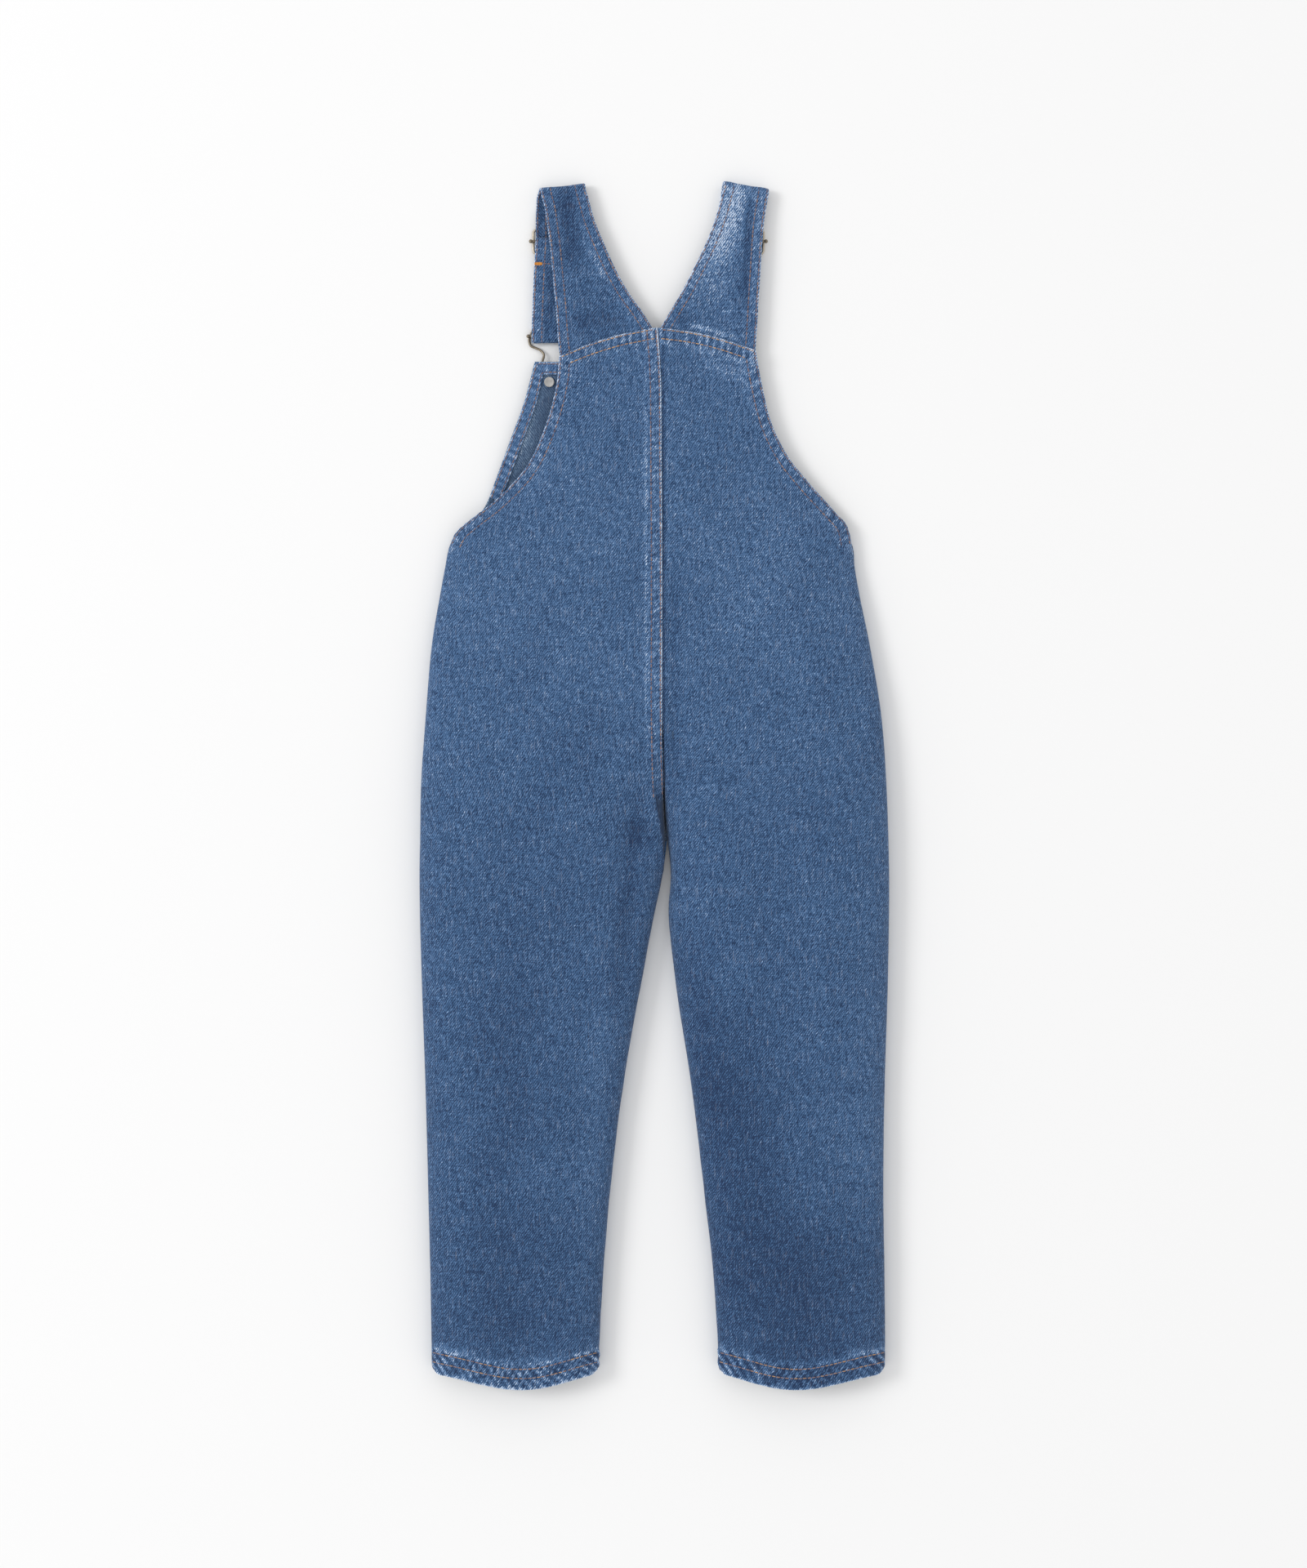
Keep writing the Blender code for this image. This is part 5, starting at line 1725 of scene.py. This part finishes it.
# %% Bar tacks below the sliders
TACK_Y = 351.4
TACK_LENGTH = 5.2
TACK_HEIGHT = 2.1
TACK_PITCH = 0.34
TACK_THREAD_R = 0.27
TACK_LIFT = 0.15
TACK_INSET = 0.3
TACK_TONES = (0.2, 0.9)


def cross_row(name, strap, seed):
    """The row across a strap's end, and the tack at each end of it."""
    outer = strap[0]
    rng = np.random.default_rng(seed)
    middle = outer[:, outer.shape[1] // 2, 1]
    second_half = len(middle) // 2
    returning = outer[second_half + int(np.argmin(middle[second_half:])) :]
    tree = tree_of(returning)
    level = returning[int(np.argmin(np.abs(returning[:, outer.shape[1] // 2, 1] - TACK_Y)))]
    low_x, high_x = level[:, 0].min() + TACK_INSET, level[:, 0].max() - TACK_INSET
    row = np.array([(low_x + TACK_LENGTH, TACK_Y), (high_x - TACK_LENGTH, TACK_Y)])
    first, last = stitch_ends(row, rng)
    mesh = stitches_mesh(f"{name}_row", dropped(tree, first), dropped(tree, last), THREAD_R, rng)
    across = add_piece(f"{name}_row", mesh, "denim", tan_thread)
    places = np.arange(int(TACK_LENGTH / TACK_PITCH)) * TACK_PITCH
    xs = np.concatenate([low_x + places, high_x - places])
    half = TACK_HEIGHT / 2 + rng.uniform(-0.12, 0.12, len(xs))
    starts = dropped(tree, np.column_stack([xs, TACK_Y - half])) + (0, 0, TACK_LIFT)
    ends = dropped(tree, np.column_stack([xs + TACK_PITCH / 2, TACK_Y + half])) + (0, 0, TACK_LIFT)
    mesh = stitches_mesh(f"{name}_tacks", starts, ends, TACK_THREAD_R, rng, TACK_TONES)
    print(name, "stitches:", len(first), "and threads in its tacks:", len(starts))
    return across, add_piece(f"{name}_tacks", mesh, "denim", orange_thread)


left_cross = cross_row("strap_left_cross", left_strap, 46)
right_cross = cross_row("strap_right_cross", right_strap, 47)

# %% Rows on the bib's turned edge
FACING_ROW_SHARES = (0.15, 0.82)


def facing_stitches(name, face, seed):
    """Both rows of the bib, on the strip that was turned over its edge."""
    rng = np.random.default_rng(seed)
    tree = tree_of(face)
    starts, ends = [], []
    for share in FACING_ROW_SHARES:
        row = np.array([[np.interp(share, FACING_SHARES, column) for column in line.T[:2]] for line in face])
        first, last = stitch_ends(row, rng)
        starts.append(dropped(tree, first))
        ends.append(dropped(tree, last))
    starts, ends = np.concatenate(starts), np.concatenate(ends)
    print(name, "stitches:", len(starts))
    return add_piece(name, stitches_mesh(name, starts, ends, THREAD_R, rng), "denim_inside", tan_thread)


bib_stitches = facing_stitches("bib_stitches", facing_face, 45)

# %% [markdown]
# ## Sliders, clips, buttons and rivets
#
# The wire pieces are drawn wire: a slider is a closed loop with a bar across it, and a clip is one bent wire
# whose ends curl round a bar. Round wire is a curve with a bevel. Whatever has the same section all round,
# such as a bar with balled ends, a button or a rivet, is a profile turned by a Screw modifier.

# %% Metal sizes
WIRE_R = 0.8
FRAME_R = 0.9
BALL_R = 1.3
SLIDER_HALF_WIDTH = 16.2
SLIDER_CORNER = 3.0
SLIDER_FRAME_Z = 2.0
SLIDER_BALL_X = 17.9
CLIP_BALL_X = 16.5
CLIP_POINTS = 130
SLOT_R = 4.4
BUTTON_R = 8.0
BUTTON_CAP_Z = 2.4
SHANK_R = 2.2
BUTTONS = {"left": (-70.8, 271.6), "right": (52.4, 271.6)}
CLIP_WIRE = (
    # half_width, y, z, to_button
    (12.5, 309.5, 0.85, 0),
    (16.0, 299.9, 0.85, 0),
    (14.9, 296.9, 0.9, 0),
    (11.9, 295.4, 1.1, 0),
    (7.7, 293.2, 1.7, 0),
    (6.0, 290.4, 2.4, 0),
    (6.5, 286.3, 3.2, 0.2),
    (5.3, 280.0, 3.6, 0.6),
    (4.4, 272.0, 3.6, 1),
)


# %% Wire and turned pieces
def wire(name, points, radius, closed, finish):
    """Drawn wire along the points, in millimetres."""
    curve = bpy.data.curves.new(name, "CURVE")
    curve.dimensions = "3D"
    curve.bevel_depth = radius * MM
    curve.bevel_resolution = 4
    curve.use_fill_caps = not closed
    line = curve.splines.new("POLY")
    line.points.add(len(points) - 1)
    for spot, point in zip(line.points, to_metres(np.asarray(points, float))):
        spot.co = (*point, 1)
    line.use_cyclic_u = closed
    return add_piece(name, curve, "nickel", finish)


def turned_piece(name, profile, place, axis, finish, slot, steps=40):
    """A piece turned about +Z from a profile of radius and height, top to bottom, then laid along axis."""
    mesh = bpy.data.meshes.new(name)
    lines = [(i, i + 1) for i in range(len(profile) - 1)]
    mesh.from_pydata([(r * MM, 0, z * MM) for r, z in profile], lines, [])
    made = add_piece(name, mesh, slot, finish)
    screw = made.modifiers.new("turn", "SCREW")
    screw.steps = steps
    screw.render_steps = steps
    screw.use_merge_vertices = True
    screw.merge_threshold = 0.00001
    made.location = to_metres(np.array(place, float))
    if axis == "x":
        made.rotation_euler = (0, math.pi / 2, 0)
    return made


def slider_outline(centre_x):
    """The slider's rounded rectangle, a quarter turn at each corner."""
    points = []
    for quarter in range(4):
        sign_x = 1 if quarter in (0, 3) else -1
        sign_y = 1 if quarter in (0, 1) else -1
        middle_x = centre_x + sign_x * (SLIDER_HALF_WIDTH - SLIDER_CORNER)
        middle_y = SLIDER_Y + sign_y * (SLIDER_HALF_HEIGHT - SLIDER_CORNER)
        for step in range(11):
            angle = (quarter + step / 10) * math.pi / 2
            across, up = SLIDER_CORNER * math.cos(angle), SLIDER_CORNER * math.sin(angle)
            points.append((middle_x + across, middle_y + up, SLIDER_FRAME_Z))
    return points


def balled_bar(half_length, bar_r):
    """The profile of a bar with a ball at each end."""
    turn = np.linspace(0, 0.8 * math.pi, 14)
    ball = [(BALL_R * math.sin(a), half_length + BALL_R * math.cos(a)) for a in turn]
    upper = ball + [(bar_r, half_length - BALL_R * 1.05)]
    return upper + [(radius, -z) for radius, z in reversed(upper)]


def clip_outline(button_x, strap_x):
    """The clip's bent wire: down one side, round under the button's shank, and up the other side."""

    def half(sign):
        return [
            (strap_x + (button_x - strap_x) * to_button + sign * half_width, y, z)
            for half_width, y, z, to_button in CLIP_WIRE
        ]

    low_y, slot_z = CLIP_WIRE[-1][1:3]
    turn = [
        (button_x - SLOT_R * math.cos(a), low_y - SLOT_R * math.sin(a), slot_z)
        for a in np.linspace(0, math.pi, 7)[1:-1]
    ]
    rough = np.array(half(-1) + turn + half(1)[::-1])
    knots = reached(rough)
    return spline(knots, rough, np.linspace(0, knots[-1], CLIP_POINTS))


# %% One side's metal
RIVET_PROFILE = (
    # radius, height
    (0, 0.95),
    (2.0, 1.0),
    (2.55, 1.08),
    (2.95, 1.16),
    (3.2, 1.12),
    (3.4, 0.92),
    (3.5, 0.6),
    (3.45, 0.2),
    (3.3, 0.0),
    (0, 0.0),
)


def button_profile():
    """The button's shank, its rounded rim and its slightly dished cap."""
    face = BIB_LIFT - SEAM_GAP
    shank = [(0, face), (SHANK_R, face), (SHANK_R, BUTTON_CAP_Z), (BUTTON_R - 0.7, BUTTON_CAP_Z)]
    rim = [(BUTTON_R - 0.5 + 0.5 * math.cos(a), 1.4 + 1.0 * math.sin(a)) for a in np.linspace(1.3, -1.3, 12)]
    return shank + rim + [(BUTTON_R - 1.8, 0.05), (BUTTON_R - 2.1, 0.25), (BUTTON_R - 3.0, 0.3), (0, 0.15)]


def side_metal(side, front):
    """The slider, clip, button and rivet of one side."""
    slider_x = (front[2][0] + front[2][2]) / 2
    clip_x = (front[-1][0] + front[-1][2]) / 2
    button_x, button_y = BUTTONS[side]
    made = {}
    made["slider_frame"] = wire(f"slider_wire_{side}", slider_outline(slider_x), FRAME_R, True, pale_nickel)
    bar, place = balled_bar(SLIDER_BALL_X, BAR_R), (slider_x, SLIDER_Y, SLIDER_BAR_Z)
    made["slider_bar"] = turned_piece(f"slider_rod_{side}", bar, place, "x", nickel, "nickel")
    made["clip_wire"] = wire(f"clip_loop_{side}", clip_outline(button_x, clip_x), WIRE_R, False, nickel)
    bar, place = balled_bar(CLIP_BALL_X, CLIP_BAR_R), (clip_x, CLIP_BAR_Y, CLIP_BAR_Z)
    made["clip_bar"] = turned_piece(f"clip_rod_{side}", bar, place, "x", nickel, "nickel")
    place = (button_x, button_y, 0)
    made["bib_button"] = turned_piece(f"button_{side}", button_profile(), place, "z", zinc, "zinc", 64)
    place = (button_x, button_y, BIB_LIFT + CLOTH + SEAM_GAP)
    made["bib_rivet"] = turned_piece(f"rivet_{side}", RIVET_PROFILE, place, "z", zinc, "zinc", 64)
    for node, piece in made.items():
        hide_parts(f"{node}_{side}")
        if piece.type == "MESH":
            piece.data.shade_smooth()
    print(side, "metal pieces:", len(made))


side_metal("left", STRAP_FRONT_LEFT)
side_metal("right", STRAP_FRONT_RIGHT)
